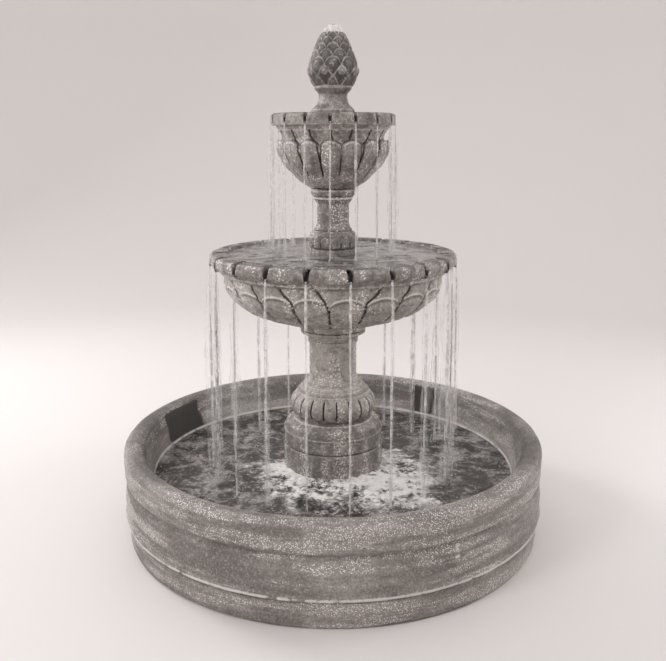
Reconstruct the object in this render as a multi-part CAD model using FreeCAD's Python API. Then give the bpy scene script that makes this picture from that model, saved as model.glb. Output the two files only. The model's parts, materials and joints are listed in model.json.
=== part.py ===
"""Two-bowl tiered water fountain in a round pool, built as an assembly of separate pieces.

Every piece is modelled where it stands, in millimetres, with +Z up.  The origin is the centre of
the pool's underside.  The cast-stone tiers are turned outlines; the pump, pipes and pool fittings
are placed from the same stack of heights, so that a changed size carries through.
"""

import FreeCAD
import Part

import math
import os

V = FreeCAD.Vector
UP = V(0, 0, 1)
ORIGIN = V(0, 0, 0)

# ---------------------------------------------------------------- driving sizes: cast stone
pool_radius = 612.0
pool_height = 280.0
pool_floor = 50.0
pool_wall = 84.0            # at the water line, between the outside and the water
rim_band = 92.0             # height of the rounded rim band
bead_height = 84.0          # of the bead line round the outside of the pool
channel_width = 20.0        # cord channel under the pool
channel_depth = 14.0

pad_height = 6.0            # rubber pads under the plinth
pad_radius = 13.0
shim = 2.0                  # plastic levelling shims between the tiers
shim_size = 18.0
shim_margin = 6.0            # from a shim to the edge of the smaller face that it touches

plinth_radius = 147.0
plinth_height = 190.0
plinth_wall = 35.0
plinth_roof = 30.0
arch_width = 50.0           # water inlets at the plinth's foot
arch_height = 32.0
arches = 4

moulding_radius = 145.0     # lowest moulding of the pedestal
moulding_height = 88.0
torus_radius = 124.0        # fluted band
torus_height = 66.0
flutes = 20
flute_turn = 5.2            # degrees from the front
flute_width = 4.0
flute_depth = 4.5
collar_height = 54.0        # stepped rings between the fluted band and the shaft
shaft_radius = 69.0
shaft_height = 96.0
capital_radius = 94.0
capital_height = 38.0
pedestal_bore = 38.0

lower_bowl_radius = 350.0
lower_bowl_height = 225.0
lower_foot_radius = 97.0
lower_seat_height = 80.0    # from the bowl's foot to the seat of the upper pedestal
lower_seat_radius = 92.0
lower_rim_width = 50.0
lower_rim_height = 38.0
lower_notches = 20
lower_notch_turn = 7.1      # degrees from the front
lower_notch_width = 18.0
lower_notch_depth = 33.0

block_radius = 65.5
block_height = 196.0        # foot block, partly under the water of the lower bowl
upper_shaft_radius = 45.0
upper_shaft_height = 81.0
upper_capital_radius = 64.0
upper_capital_height = 42.0
upper_pedestal_bore = 27.0

upper_bowl_radius = 172.0
upper_bowl_height = 200.0
upper_foot_radius = 66.0
upper_seat_height = 65.0    # from the bowl's foot to the seat of the finial
upper_seat_radius = 70.0
upper_rim_width = 32.0
upper_rim_height = 32.0
upper_notches = 16
upper_notch_turn = -2.6
upper_notch_width = 11.0
upper_notch_depth = 26.0

finial_height = 345.0
finial_foot_radius = 59.0
finial_foot_height = 145.0
finial_neck_radius = 39.0
finial_cone_radius = 69.0
finial_tip_radius = 28.5
finial_gap = 0.3            # between the loose finial and its seat

# ---------------------------------------------------------------- driving sizes: water path
pipe_radius = 11.0
pipe_wall = 1.0
hose_wall = 3.0
hose_grip = 25.0            # length of pipe or barb inside a hose
stopper_taper = 3.0
stopper_wall = 8.0
stopper_inset = 6.0         # of the stopper above the bowl's foot
stopper_sink = 4.0          # of the stopper below the bowl's seat
finial_bore_clearance = 0.8
clamp_width = 10.0
clamp_band = 0.9
clamp_house_width = 8.0
clamp_house_depth = 6.0
clamp_screw_radius = 1.6
clamp_screw_length = 9.0
clamp_head_radius = 3.0
clamp_head_length = 3.0
driver_slot = 1.2           # width of a screwdriver slot
pipe_below_bowl = 34.0
pipe_above_seat = 48.0
pipe_below_tip = 8.0

# ---------------------------------------------------------------- driving sizes: pump
cup_height = 10.0
cup_radius = 9.0
motor_width = 62.0
motor_depth = 64.0
motor_height = 66.0
volute_radius = 26.0
volute_depth = 20.0
volute_wall = 4.0
flange_thickness = 4.0
flange_margin = 1.0
flange_corner = 7.0
rotor_radius = 9.2
rotor_length = 40.0
rotor_clearance = 1.0
vane_radius = 17.0
vane_height = 10.0
vanes = 6
pin_radius = 1.5
pin_clearance = 0.06
bush_radius = 4.0
bush_length = 5.0
inlet_radius = 10.0
spigot_radius = 10.0
spigot_bore = 7.0
spigot_height = 52.0        # above the rotor's axis
barb_ring_radius = 13.5
barb_ring_height = 9.0
barb_thread = 10.0          # length of spigot inside the barb
barb_ridge = 0.55
barb_ridges = 3
barb_pitch = 7.0
thread_clearance = 0.1
strainer_wall = 2.0
strainer_depth = 36.0
strainer_clearance = 0.4
strainer_slot = 3.0
dial_radius = 12.0
dial_thickness = 5.0
dial_clearance = 0.3
dial_stem_radius = 2.0
dial_stem_clearance = 0.06
dial_window = 5.0
dial_window_reach = 4.0     # from the dial's axis to its window
dial_grip_width = 3.0
dial_grip_height = 4.0
button_margin = 1.2         # of the stem's button over the stem
screw_radius = 1.5
screw_length = 12.0
screw_head_radius = 2.9
screw_head_height = 2.0
screw_slot_width = 0.8
screw_slot_depth = 1.0
screw_hole_clearance = 0.2
screw_inset = 5.0           # of the screws from the motor's sides
o_ring_radius = 1.2
vane_width = 1.6
hub_radius = 5.0
inlet_arms = 3
inlet_arm_width = 2.4
cup_neck_radius = 3.2
cup_neck_height = 3.0
cup_wall = 1.2
cup_inset = 12.0            # of the suction cups from the motor's sides
foam_inset = 6.0            # of the filter foam from the motor's sides
gland_radius = 6.0
gland_length = 12.0
gland_nose = 6.0
gland_taper = 1.5
gland_rise = 14.0           # above the rotor's axis
gland_inset = 20.0          # from the motor's back
cord_radius = 3.2

# ---------------------------------------------------------------- driving sizes: pool fittings
drain_inset = 114.0         # from the pool's inner wall at the water line
drain_turn = 37.0           # degrees from +X
drain_bore = 13.0           # inside radius of the drain collar
drain_wall = 2.5
drain_flange_radius = 26.0
drain_flange = 4.0
drain_washer = 2.5
drain_nut_radius = 24.0
drain_nut_height = 9.0
drain_recess = 18.0         # pocket under the pool for the nut
plug_taper = 1.5
plug_clearance = 0.4
plug_depth = 18.0
plug_cap_height = 5.0
tab_width = 18.0
tab_thickness = 5.0
tab_height = 15.0
tab_eye_radius = 4.0
drain_clearance = 0.5
cord_hole_turn = 40.5       # degrees from +X
cord_hole_radius = 15.0
bung_lip = 4.0
bung_lip_height = 3.0
bung_slit = 0.8

# ---------------------------------------------------------------- stack of heights
pedestal_height = moulding_height + torus_height + collar_height + shaft_height + capital_height
upper_pedestal_height = block_height + upper_shaft_height + upper_capital_height
plinth_base = pool_floor + pad_height
plinth_top = plinth_base + plinth_height
pedestal_base = plinth_top + shim
pedestal_top = pedestal_base + pedestal_height
lower_base = pedestal_top + shim
lower_seat = lower_base + lower_seat_height
lower_rim = lower_base + lower_bowl_height
column_base = lower_seat + shim
column_top = column_base + upper_pedestal_height
upper_base = column_top + shim
upper_seat = upper_base + upper_seat_height
upper_rim = upper_base + upper_bowl_height
finial_base = upper_seat + finial_gap
finial_top = finial_base + finial_height

rotor_z = pool_floor + cup_height + motor_height / 2
volute_front = -volute_depth / 2
volute_back = volute_depth / 2
well_back = volute_back + rotor_length + rotor_clearance
motor_back = volute_back + motor_depth
hose_radius = pipe_radius + hose_wall
barb_base = rotor_z + spigot_height - barb_thread
hose_start = barb_base + barb_ring_height + clamp_head_radius
lower_pipe_bottom = lower_base - pipe_below_bowl
lower_pipe_top = lower_seat + pipe_above_seat
upper_pipe_bottom = upper_base - pipe_below_bowl
upper_pipe_top = finial_top - pipe_below_tip

plinth_inside = plinth_radius - plinth_wall
drain_reach = pool_radius - pool_wall - drain_inset
drain_x = drain_reach * math.cos(math.radians(drain_turn))
drain_y = drain_reach * math.sin(math.radians(drain_turn))
cord_hole_reach = plinth_inside - cord_hole_radius - 2 * bung_lip
cord_hole_x = cord_hole_reach * math.cos(math.radians(cord_hole_turn))
cord_hole_y = cord_hole_reach * math.sin(math.radians(cord_hole_turn))


# ---------------------------------------------------------------- shape helpers
def outline(points):
    """Closed wire in the XZ plane through (radius, height, corner radius) points.

    A corner radius rounds its corner with an arc that is tangent to both sides; it is held to
    0.49 of the shorter side, so that a changed size can't make two arcs cross.
    """
    corners = [(V(p[0], 0, p[1]), p[2] if len(p) > 2 else 0.0) for p in points]
    starts, ends, middles = [], [], []
    for i, (corner, radius) in enumerate(corners):
        before = corners[i - 1][0] - corner
        after = corners[(i + 1) % len(corners)][0] - corner
        if radius <= 0:
            starts.append(corner)
            ends.append(corner)
            middles.append(None)
            continue
        half = before.getAngle(after) / 2
        reach = min(radius / math.tan(half), 0.49 * before.Length, 0.49 * after.Length)
        radius = reach * math.tan(half)
        to_before, to_after = V(before).normalize(), V(after).normalize()
        inwards = (to_before + to_after).normalize()
        starts.append(corner + to_before * reach)
        ends.append(corner + to_after * reach)
        middles.append(corner + inwards * (radius / math.sin(half) - radius))
    edges = []
    for i in range(len(corners)):
        if middles[i] is not None:
            edges.append(Part.Arc(starts[i], middles[i], ends[i]).toShape())
        following = starts[(i + 1) % len(corners)]
        if ends[i].distanceToPoint(following) > 1e-6:
            edges.append(Part.LineSegment(ends[i], following).toShape())
    return Part.Wire(edges)


def turned(points):
    """Solid of revolution about the Z axis."""
    solid = Part.Face(outline(points)).revolve(ORIGIN, UP, 360)
    return solid if isinstance(solid, Part.Solid) else Part.Solid(solid.Shells[0])


def tube(outer, inner, low, high, x=0.0, y=0.0):
    """Upright tube, or a plain cylinder where inner is 0."""
    body = Part.makeCylinder(outer, high - low, V(x, y, low))
    if inner <= 0:
        return body
    return body.cut(Part.makeCylinder(inner, high - low + 2, V(x, y, low - 1)))


def along_y(radius, front, back, x=0.0, z=None):
    """Cylinder that lies along Y, on the rotor's axis unless x or z say otherwise."""
    return Part.makeCylinder(radius, back - front, V(x, front, rotor_z if z is None else z), V(0, 1, 0))


def block(width, depth, height, x, y, z):
    """Box centred on x and y, standing on z."""
    return Part.makeBox(width, depth, height, V(x - width / 2, y - depth / 2, z))


def around(shape, count, first=0.0):
    """Copies of a shape, evenly turned about the Z axis; first is in degrees."""
    copies = []
    for i in range(count):
        copy = shape.copy()
        copy.rotate(ORIGIN, UP, first + 360.0 * i / count)
        copies.append(copy)
    return copies


def along_y_edges(shape):
    return [e for e in shape.Edges if abs(e.tangentAt(e.FirstParameter).y) > 0.9]


def save(node, *solids):
    """Writes one node's solids to its own STEP file."""
    pieces = [s for shape in solids for s in shape.Solids]
    for piece in pieces:
        if not piece.isValid() or piece.Volume <= 0:
            raise ValueError(f"{node} has a bad solid")
    shape = pieces[0] if len(pieces) == 1 else Part.makeCompound(pieces)
    shape.exportStep(f"parts/{node}.step")


# ---------------------------------------------------------------- cast stone
def spout_cutters(rim_radius, rim_top, rim_width, width, depth, count, turn):
    """V-shaped spouts through a bowl's rim, deeper on the outside so that water runs out."""
    sections = []
    for radius, deep in ((rim_radius - rim_width - 6, 0.45 * depth), (rim_radius + 6, depth)):
        half_top, half_bottom = width / 2 + 0.15, width / 8
        corners = [
            V(-half_top, -radius, rim_top + 1),
            V(half_top, -radius, rim_top + 1),
            V(half_bottom, -radius, rim_top - deep),
            V(-half_bottom, -radius, rim_top - deep),
        ]
        sections.append(Part.makePolygon(corners + corners[:1]))
    return around(Part.makeLoft(sections, True, True), count, turn)


def make_pool_basin():
    rim_foot = pool_height - rim_band
    wall = pool_radius - pool_wall
    basin = turned([
        (0, 0),
        (pool_radius - 8, 0, 10),
        (pool_radius - 1, bead_height - 9, 4),
        (pool_radius + 3, bead_height - 6, 2),
        (pool_radius + 3, bead_height + 3, 2),
        (pool_radius, bead_height + 8, 3),
        (pool_radius + 1, (bead_height + rim_foot) / 2, 60),
        (pool_radius - 4, rim_foot - 10, 12),
        (pool_radius - 14, rim_foot, 2),
        (pool_radius, rim_foot + 10, 9),
        (pool_radius, pool_height + 1, 34),
        (pool_radius - 52, pool_height - 8, 30),
        (wall, pool_height - 112, 60),
        (wall - 16, pool_floor, 34),
        (0, pool_floor),
    ])
    drain = tube(drain_bore + drain_wall + drain_clearance, 0, -1, pool_floor + 1, drain_x, drain_y)
    recess = tube(drain_nut_radius + 6, 0, -1, drain_recess, drain_x, drain_y)
    cord_hole = tube(cord_hole_radius, 0, -1, pool_floor + 1, cord_hole_x, cord_hole_y)
    channel = Part.makeBox(channel_width, pool_radius + 20, channel_depth + 1,
                           V(cord_hole_x - channel_width / 2, cord_hole_y, -1))
    return basin.cut([drain, recess, cord_hole, channel])


def make_plinth():
    inside = plinth_inside
    shell = turned([
        (inside, plinth_base),
        (plinth_radius, plinth_base, 3),
        (plinth_radius, plinth_top, 5),
        (pedestal_bore + 7, plinth_top, 2),
        (pedestal_bore + 7, plinth_top - plinth_roof),
        (inside, plinth_top - plinth_roof, 18),
    ])
    middle = -(inside + plinth_wall / 2)
    spring = arch_height - arch_width / 4
    arch = block(arch_width, plinth_wall + 30, spring + 1, 0, middle, plinth_base - 1)
    crown = Part.makeCylinder(arch_width / 2, plinth_wall + 30,
                              V(0, -(plinth_radius + 15), plinth_base + spring), V(0, 1, 0))
    flat = block(arch_width + 2, plinth_wall + 40, arch_width, 0, middle, plinth_base + arch_height)
    return shell.cut(around(arch.fuse(crown.cut(flat)), arches))


def make_pedestal():
    base, top = pedestal_base, pedestal_top
    torus_low = base + moulding_height
    torus_high = torus_low + torus_height
    torus_middle = (torus_low + torus_high) / 2
    body = turned([
        (pedestal_bore, base),
        (moulding_radius, base, 4),
        (moulding_radius, base + 38, 2),
        (moulding_radius + 2, base + 40, 1.5),
        (moulding_radius + 2, base + 45, 1.5),
        (moulding_radius - 4, base + 48, 2),
        (moulding_radius - 6, base + 66, 16),
        (torus_radius - 5, base + 74, 2),
        (torus_radius - 6, base + 79, 3),
        (torus_radius - 24, base + 82, 3),
        (torus_radius - 24, torus_low - 1, 1),
        (torus_radius - 12, torus_low, 2),
        (torus_radius + 1, torus_middle - 6, 26),
        (torus_radius - 4, torus_middle + 14, 26),
        (torus_radius - 18, torus_high, 3),
        (torus_radius - 18, torus_high + 8, 3),
        (torus_radius - 29, torus_high + 11, 1),
        (torus_radius - 29, torus_high + 20, 4),
        (shaft_radius + 14, torus_high + 23, 1),
        (shaft_radius + 13, torus_high + 31, 4),
        (shaft_radius + 5, torus_high + 36, 4),
        (shaft_radius, torus_high + collar_height, 14),
        (shaft_radius, top - capital_height, 3),
        (shaft_radius + 4, top - 36, 1.5),
        (shaft_radius + 4, top - 29, 1.5),
        (shaft_radius + 2, top - 27, 1),
        (shaft_radius + 9, top - 16, 12),
        (capital_radius, top - 8, 2),
        (capital_radius, top, 2),
        (pedestal_bore, top),
    ])
    groove = Part.makeBox(flute_width, 40, torus_height - 14,
                          V(-flute_width / 2, -torus_radius - 10, torus_low + 6))
    ring = turned([
        (torus_radius + 20, torus_low + 2),
        (torus_radius + 20, torus_high - 2),
        (torus_radius - 18, torus_high - 2),
        (torus_radius - 4 - flute_depth, torus_middle + 14, 26),
        (torus_radius + 1 - flute_depth, torus_middle - 6, 26),
        (torus_radius - 14, torus_low + 2),
    ])
    return body.cut([g.common(ring) for g in around(groove, flutes, flute_turn)])


def bowl_with_spouts(points, rim_radius, rim_top, rim_width, width, depth, count, turn):
    return turned(points).cut(spout_cutters(rim_radius, rim_top, rim_width, width, depth, count, turn))


def stopper_radius(height_in_bore, bore_length):
    """Radius of a bowl's tapered bore, and of the stopper in it, at a height above its foot."""
    return pipe_radius + stopper_wall + stopper_taper * height_in_bore / bore_length


def make_lower_bowl():
    base, top, radius = lower_base, lower_rim, lower_bowl_radius
    inner = radius - lower_rim_width
    rim_foot = top - lower_rim_height
    belly = rim_foot - base
    return bowl_with_spouts([
        (stopper_radius(0, lower_seat_height), base),
        (lower_foot_radius, base, 4),
        (lower_foot_radius, base + 20, 4),
        (radius * 0.44, base + 29, 60),
        (radius * 0.70, base + 0.34 * belly, 120),
        (radius * 0.855, base + 0.57 * belly, 60),
        (radius - 41, base + 0.79 * belly, 12),
        (radius - 41, rim_foot - 22, 4),
        (radius - 30, rim_foot - 16, 2),
        (radius - 24, rim_foot - 12, 3),
        (radius - 26, rim_foot - 6, 3),
        (radius - 12, rim_foot, 4),
        (radius, rim_foot + 12, 12),
        (radius, top - 3, 12),
        (radius - 20, top, 12),
        (inner, top, 5),
        (inner - 8, base + 0.88 * belly, 30),
        (radius * 0.70, base + 0.56 * belly, 90),
        (lower_seat_radius + 20, lower_seat - 18, 14),
        (lower_seat_radius + 4, lower_seat - 20, 6),
        (lower_seat_radius, lower_seat, 4),
        (stopper_radius(lower_seat_height, lower_seat_height), lower_seat),
    ], radius, top, lower_rim_width, lower_notch_width, lower_notch_depth, lower_notches, lower_notch_turn)


def make_upper_pedestal():
    base, top = column_base, column_top
    block_top = base + block_height
    return turned([
        (upper_pedestal_bore, base),
        (block_radius, base, 3),
        (block_radius, block_top - 6, 3),
        (block_radius - 3, block_top, 3),
        (block_radius - 11, block_top + 5, 1),
        (block_radius - 12, block_top + 11, 3),
        (upper_shaft_radius + 4, block_top + 14, 3),
        (upper_shaft_radius, block_top + 30, 14),
        (upper_shaft_radius, top - upper_capital_height, 4),
        (upper_shaft_radius + 9, top - 30, 8),
        (upper_capital_radius - 8, top - 28, 1.5),
        (upper_capital_radius - 8, top - 22, 1.5),
        (upper_capital_radius - 3, top - 18, 3),
        (upper_capital_radius, top - 10, 5),
        (upper_capital_radius, top, 4),
        (upper_pedestal_bore, top),
    ])


def make_upper_bowl():
    base, top, radius = upper_base, upper_rim, upper_bowl_radius
    inner = radius - upper_rim_width
    rim_foot = top - upper_rim_height
    belly = rim_foot - base
    return bowl_with_spouts([
        (stopper_radius(0, upper_seat_height), base),
        (upper_foot_radius, base, 3),
        (radius * 0.57, base + 0.12 * belly, 60),
        (radius * 0.73, base + 0.345 * belly, 90),
        (radius * 0.865, base + 0.57 * belly, 50),
        (radius * 0.862, base + 0.73 * belly, 14),
        (radius - 31, base + 0.80 * belly, 3),
        (radius - 29, base + 0.865 * belly, 8),
        (radius - 18, rim_foot - 9, 2),
        (radius - 15, rim_foot - 5, 2),
        (radius - 16, rim_foot, 2),
        (radius - 1, rim_foot, 2),
        (radius, rim_foot + 5, 6),
        (radius, top - 3, 8),
        (radius - 10, top, 8),
        (inner, top, 3),
        (inner - 6, base + 0.89 * belly, 30),
        (radius * 0.62, base + 0.37 * belly, 40),
        (upper_seat_radius + 8, upper_seat - 17, 6),
        (upper_seat_radius, upper_seat, 3),
        (stopper_radius(upper_seat_height, upper_seat_height), upper_seat),
    ], radius, top, upper_rim_width, upper_notch_width, upper_notch_depth, upper_notches, upper_notch_turn)


def make_finial():
    base, top = finial_base, finial_top
    foot = base + finial_foot_height
    bore = pipe_radius + finial_bore_clearance
    cone = top - foot - 62
    return turned([
        (bore, base),
        (finial_foot_radius + 1, base, 3),
        (finial_foot_radius + 1, foot - 4, 2),
        (finial_foot_radius, foot, 3),
        (finial_neck_radius + 5, foot + 14, 14),
        (finial_neck_radius, foot + 30, 16),
        (finial_neck_radius + 1, foot + 42, 8),
        (finial_neck_radius + 12, foot + 54, 2),
        (finial_neck_radius + 12, foot + 60, 2),
        (finial_neck_radius + 15, foot + 62, 1),
        (finial_cone_radius + 1, foot + 62 + 0.25 * cone, 24),
        (finial_cone_radius - 4, foot + 62 + 0.46 * cone, 30),
        (finial_tip_radius + 11, top - 14, 20),
        (finial_tip_radius, top, 6),
        (bore + 5, top, 2),
        (bore, top - 7, 2),
    ])


# ---------------------------------------------------------------- water path
def make_stopper(base, bore_length):
    """Rubber stopper that fills a bowl's tapered bore and grips the pipe."""
    return turned([
        (pipe_radius, base + stopper_inset),
        (stopper_radius(stopper_inset, bore_length), base + stopper_inset),
        (stopper_radius(bore_length - stopper_sink, bore_length), base + bore_length - stopper_sink),
        (pipe_radius, base + bore_length - stopper_sink),
    ])


def make_clamp(height):
    """Worm-drive hose clamp: a band round the hose, a screw housing and the screw."""
    band_radius = hose_radius + clamp_band
    screw_y = -(band_radius + clamp_house_depth / 2)
    band = tube(band_radius, hose_radius, height - clamp_width / 2, height + clamp_width / 2)
    house = block(clamp_house_width, clamp_house_depth, clamp_width + 1,
                  0, screw_y + 0.4, height - clamp_width / 2 - 0.5)
    bore = Part.makeCylinder(clamp_screw_radius + 0.1, clamp_house_width + 2,
                             V(-clamp_house_width / 2 - 1, screw_y, height), V(1, 0, 0))
    clear = Part.makeCylinder(hose_radius, 4 * clamp_width, V(0, 0, height - 2 * clamp_width))
    screw = Part.makeCylinder(clamp_screw_radius, clamp_screw_length,
                              V(-clamp_house_width / 2, screw_y, height), V(1, 0, 0))
    head_x = clamp_house_width / 2 + 0.5
    head = Part.makeCylinder(clamp_head_radius, clamp_head_length, V(head_x, screw_y, height), V(1, 0, 0))
    slot_length = 2 * clamp_head_radius + 1
    slot = Part.makeBox(driver_slot, 0.75 * driver_slot, slot_length,
                        V(head_x + clamp_head_length - 0.75 * driver_slot,
                          screw_y - 0.375 * driver_slot, height - slot_length / 2))
    return band.fuse(house.cut(clear)).cut(bore), screw.fuse(head).cut(slot)


def make_barb():
    """Hose barb that screws on to the pump's outlet spigot."""
    thread_radius = spigot_radius + thread_clearance
    thread_top = barb_base + barb_thread + 0.2
    stem_radius = pipe_radius - barb_ridge
    points = [
        (thread_radius, barb_base),
        (barb_ring_radius, barb_base, 1),
        (barb_ring_radius, barb_base + barb_ring_height, 1),
        (stem_radius, barb_base + barb_ring_height + 2),
    ]
    for i in range(barb_ridges):
        low = hose_start + 3 + barb_pitch * i
        points += [(stem_radius, low), (pipe_radius, low + 1), (stem_radius, low + barb_pitch - 1)]
    points += [
        (stem_radius - 1, hose_start + hose_grip),
        (spigot_bore, hose_start + hose_grip),
        (spigot_bore, thread_top),
        (thread_radius, thread_top),
    ]
    return turned(points)


# ---------------------------------------------------------------- pump
def screw_places():
    """Places of the four volute screws, as (x, z)."""
    side = motor_width / 2 - screw_inset
    high = motor_height / 2 - screw_inset
    return [(x, rotor_z + z) for x in (-side, side) for z in (-high, high)]


def make_pump_housing():
    body = Part.makeBox(motor_width, motor_depth, motor_height,
                        V(-motor_width / 2, volute_back, rotor_z - motor_height / 2))
    body = body.makeFillet(flange_corner + flange_margin, along_y_edges(body))
    well = along_y(rotor_radius + rotor_clearance, volute_back - 1, well_back)
    seat = along_y(bush_radius, well_back - rotor_clearance, well_back + bush_length)
    hole_end = volute_back + screw_length - flange_thickness + 1
    holes = [along_y(screw_radius, volute_back - 1, hole_end, x, z) for x, z in screw_places()]
    return body.cut([well, seat] + holes)


def turned_about_rotor(shape, count, first=0.0):
    """Copies of a shape, evenly turned about the rotor's axis; first is in degrees."""
    copies = []
    for i in range(count):
        copy = shape.copy()
        copy.rotate(V(0, 0, rotor_z), V(0, 1, 0), first + 360.0 * i / count)
        copies.append(copy)
    return copies


def make_volute():
    flange_front = volute_back - flange_thickness
    flange = Part.makeBox(motor_width - 2 * flange_margin, flange_thickness, motor_height - 2 * flange_margin,
                          V(-motor_width / 2 + flange_margin, flange_front,
                            rotor_z - motor_height / 2 + flange_margin))
    flange = flange.makeFillet(flange_corner, along_y_edges(flange))
    drum = along_y(volute_radius, volute_front, volute_back)
    chamber = along_y(volute_radius - volute_wall, volute_front + volute_wall, volute_back + 1)
    spigot = tube(spigot_radius, 0, rotor_z, rotor_z + spigot_height)
    bore = tube(spigot_bore, 0, rotor_z, rotor_z + spigot_height + 1)
    inlet = along_y(inlet_radius, volute_front - 1, volute_front + volute_wall + 1)
    hub = along_y(bush_radius + 1.5, volute_front, volute_front + volute_wall)
    arm = Part.makeBox(inlet_arm_width, volute_wall, inlet_radius + 1,
                       V(-inlet_arm_width / 2, volute_front, rotor_z))
    arms = turned_about_rotor(arm, inlet_arms, 180.0 / inlet_arms)
    seat = along_y(bush_radius, volute_front + 1, volute_front + volute_wall + 1)
    holes = [along_y(screw_radius + screw_hole_clearance, flange_front - 1, volute_back + 1, x, z)
             for x, z in screw_places()]
    groove_outer = volute_radius - 0.2
    groove_inner = groove_outer - 2.5 * o_ring_radius
    groove = along_y(groove_outer, volute_back - 2 * o_ring_radius, volute_back + 1).cut(
        along_y(groove_inner, volute_back - 3, volute_back + 2))
    body = flange.fuse([drum, spigot]).cut([chamber, bore, inlet]).fuse([hub] + arms)
    return body.cut([seat, groove] + holes)


def make_o_ring():
    return Part.makeTorus(volute_radius - 0.5 - o_ring_radius, o_ring_radius,
                          V(0, volute_back - o_ring_radius, rotor_z), V(0, 1, 0))


def make_screws():
    flange_front = volute_back - flange_thickness
    head_front = flange_front - screw_head_height
    slot_length = 2 * screw_head_radius + 1
    screws = []
    for x, z in screw_places():
        shank = along_y(screw_radius, flange_front, flange_front + screw_length, x, z)
        head = along_y(screw_head_radius, head_front, flange_front, x, z)
        slot = Part.makeBox(slot_length, screw_slot_depth, screw_slot_width,
                            V(x - slot_length / 2, head_front - 0.01, z - screw_slot_width / 2))
        screws.append(shank.fuse(head).cut(slot))
    return screws


def make_impeller():
    """Magnet rotor with straight vanes on a hub, turning freely on the ceramic pin."""
    magnet = along_y(rotor_radius, volute_back + 0.5, volute_back + rotor_length)
    hub = along_y(hub_radius, volute_front + volute_wall + 2.5, volute_back + 1)
    vane = Part.makeBox(vane_width, vane_height, vane_radius,
                        V(-vane_width / 2, volute_back - vane_height - 1, rotor_z))
    plate = along_y(vane_radius - 2, volute_back - 2.4, volute_back - 1)
    bore = along_y(pin_radius + pin_clearance, volute_front, volute_back + rotor_length + 1)
    return magnet.fuse([hub, plate] + turned_about_rotor(vane, vanes)).cut(bore)


def make_pin():
    return along_y(pin_radius, volute_front + 1.5, well_back + bush_length - 1)


def make_bush(front, back, open_front):
    bush = along_y(bush_radius, front, back)
    hole = along_y(pin_radius, front - 1 if open_front else front + 0.5, back - 1 if open_front else back + 1)
    return bush.cut(hole)


def strainer_front():
    return volute_front - strainer_depth


def strainer_shell(grow, front, back):
    """Rounded box round the volute's flange, larger than it by grow on each side."""
    width = motor_width - 2 * flange_margin + 2 * grow
    height = motor_height - 2 * flange_margin + 2 * grow
    shell = Part.makeBox(width, back - front, height, V(-width / 2, front, rotor_z - height / 2))
    return shell.makeFillet(flange_corner + grow, along_y_edges(shell))


def make_strainer():
    """Slotted intake cover that pulls off forwards; open at the back and slit for the outlet."""
    front, back = strainer_front(), volute_back - strainer_clearance
    shell = strainer_shell(strainer_clearance + strainer_wall, front, back)
    cavity = strainer_shell(strainer_clearance, front + strainer_wall, back + 1)
    outlet_half = spigot_radius + 2
    outlet = Part.makeBox(2 * outlet_half, back + 1 + outlet_half, motor_height,
                          V(-outlet_half, -outlet_half, rotor_z + inlet_radius))
    pitch = 2.4 * strainer_slot
    rows = int((motor_height - 18) / pitch)
    slots = []
    for i in range(rows):
        z = rotor_z + (i - (rows - 1) / 2) * pitch - strainer_slot / 2
        length = motor_width / 2 - dial_radius - 8
        for x in (-motor_width / 2 + 6, dial_radius + 2):
            slots.append(Part.makeBox(length, 10, strainer_slot, V(x, front - 4, z)))
        slots.append(Part.makeBox(motor_width + 20, strainer_depth - 10, strainer_slot,
                                  V(-motor_width / 2 - 10, front + 6, z)))
    pivot = along_y(dial_stem_radius + dial_stem_clearance, front - 1, front + strainer_wall + 1)
    port = Part.makeBox(dial_window, 10, dial_window,
                        V(-dial_window / 2, front - 4, rotor_z + dial_window_reach))
    return shell.cut([cavity, outlet, pivot, port] + slots)


def make_flow_dial():
    """Round dial on the cover's front; turning it moves a window off the intake port."""
    front = strainer_front() - dial_clearance
    inside = front + dial_clearance + strainer_wall + dial_clearance
    disc = along_y(dial_radius, front - dial_thickness, front)
    stem = along_y(dial_stem_radius, front - 1, inside + 1)
    button = along_y(dial_stem_radius + button_margin, inside, inside + button_margin)
    grip_length = 2 * (dial_radius - dial_grip_width)
    grip = Part.makeBox(grip_length, dial_grip_height, dial_grip_width,
                        V(-grip_length / 2, front - dial_thickness - dial_grip_height,
                          rotor_z - dial_grip_width / 2))
    window = Part.makeBox(dial_window, dial_thickness + 2, dial_window,
                          V(-dial_window / 2, front - dial_thickness - 1, rotor_z + dial_window_reach))
    return disc.fuse([stem, button, grip]).cut(window)


def make_foam():
    front = strainer_front() + strainer_wall + 3
    back = volute_front - 1.5
    width = motor_width - 2 * foam_inset
    height = motor_height - 2 * foam_inset - 2
    return Part.makeBox(width, back - front, height, V(-width / 2, front, rotor_z - height / 2))


def make_suction_cups():
    cups = []
    skirt = cup_height - cup_neck_height
    for x in (cup_inset - motor_width / 2, motor_width / 2 - cup_inset):
        for y in (volute_back + cup_inset, motor_back - cup_inset):
            cone = Part.makeCone(cup_radius, cup_neck_radius, skirt, V(x, y, pool_floor))
            neck = Part.makeCylinder(cup_neck_radius, cup_neck_height, V(x, y, pool_floor + skirt))
            dish = Part.makeCone(cup_radius - cup_wall, 1.5, skirt - cup_neck_height, V(x, y, pool_floor))
            cups.append(cone.fuse(neck).cut(dish))
    return cups


def make_gland():
    """Sealed cord entry on the motor's side, with a tapered nose."""
    side, y, z = motor_width / 2, motor_back - gland_inset, rotor_z + gland_rise
    body = Part.makeCylinder(gland_radius, gland_length, V(side, y, z), V(1, 0, 0))
    nose = Part.makeCone(gland_radius, gland_radius - gland_taper, gland_nose,
                         V(side + gland_length, y, z), V(1, 0, 0))
    hole = Part.makeCylinder(cord_radius, gland_length + gland_nose + 2,
                             V(side + gland_taper, y, z), V(1, 0, 0))
    return body.fuse(nose).cut(hole)


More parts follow.
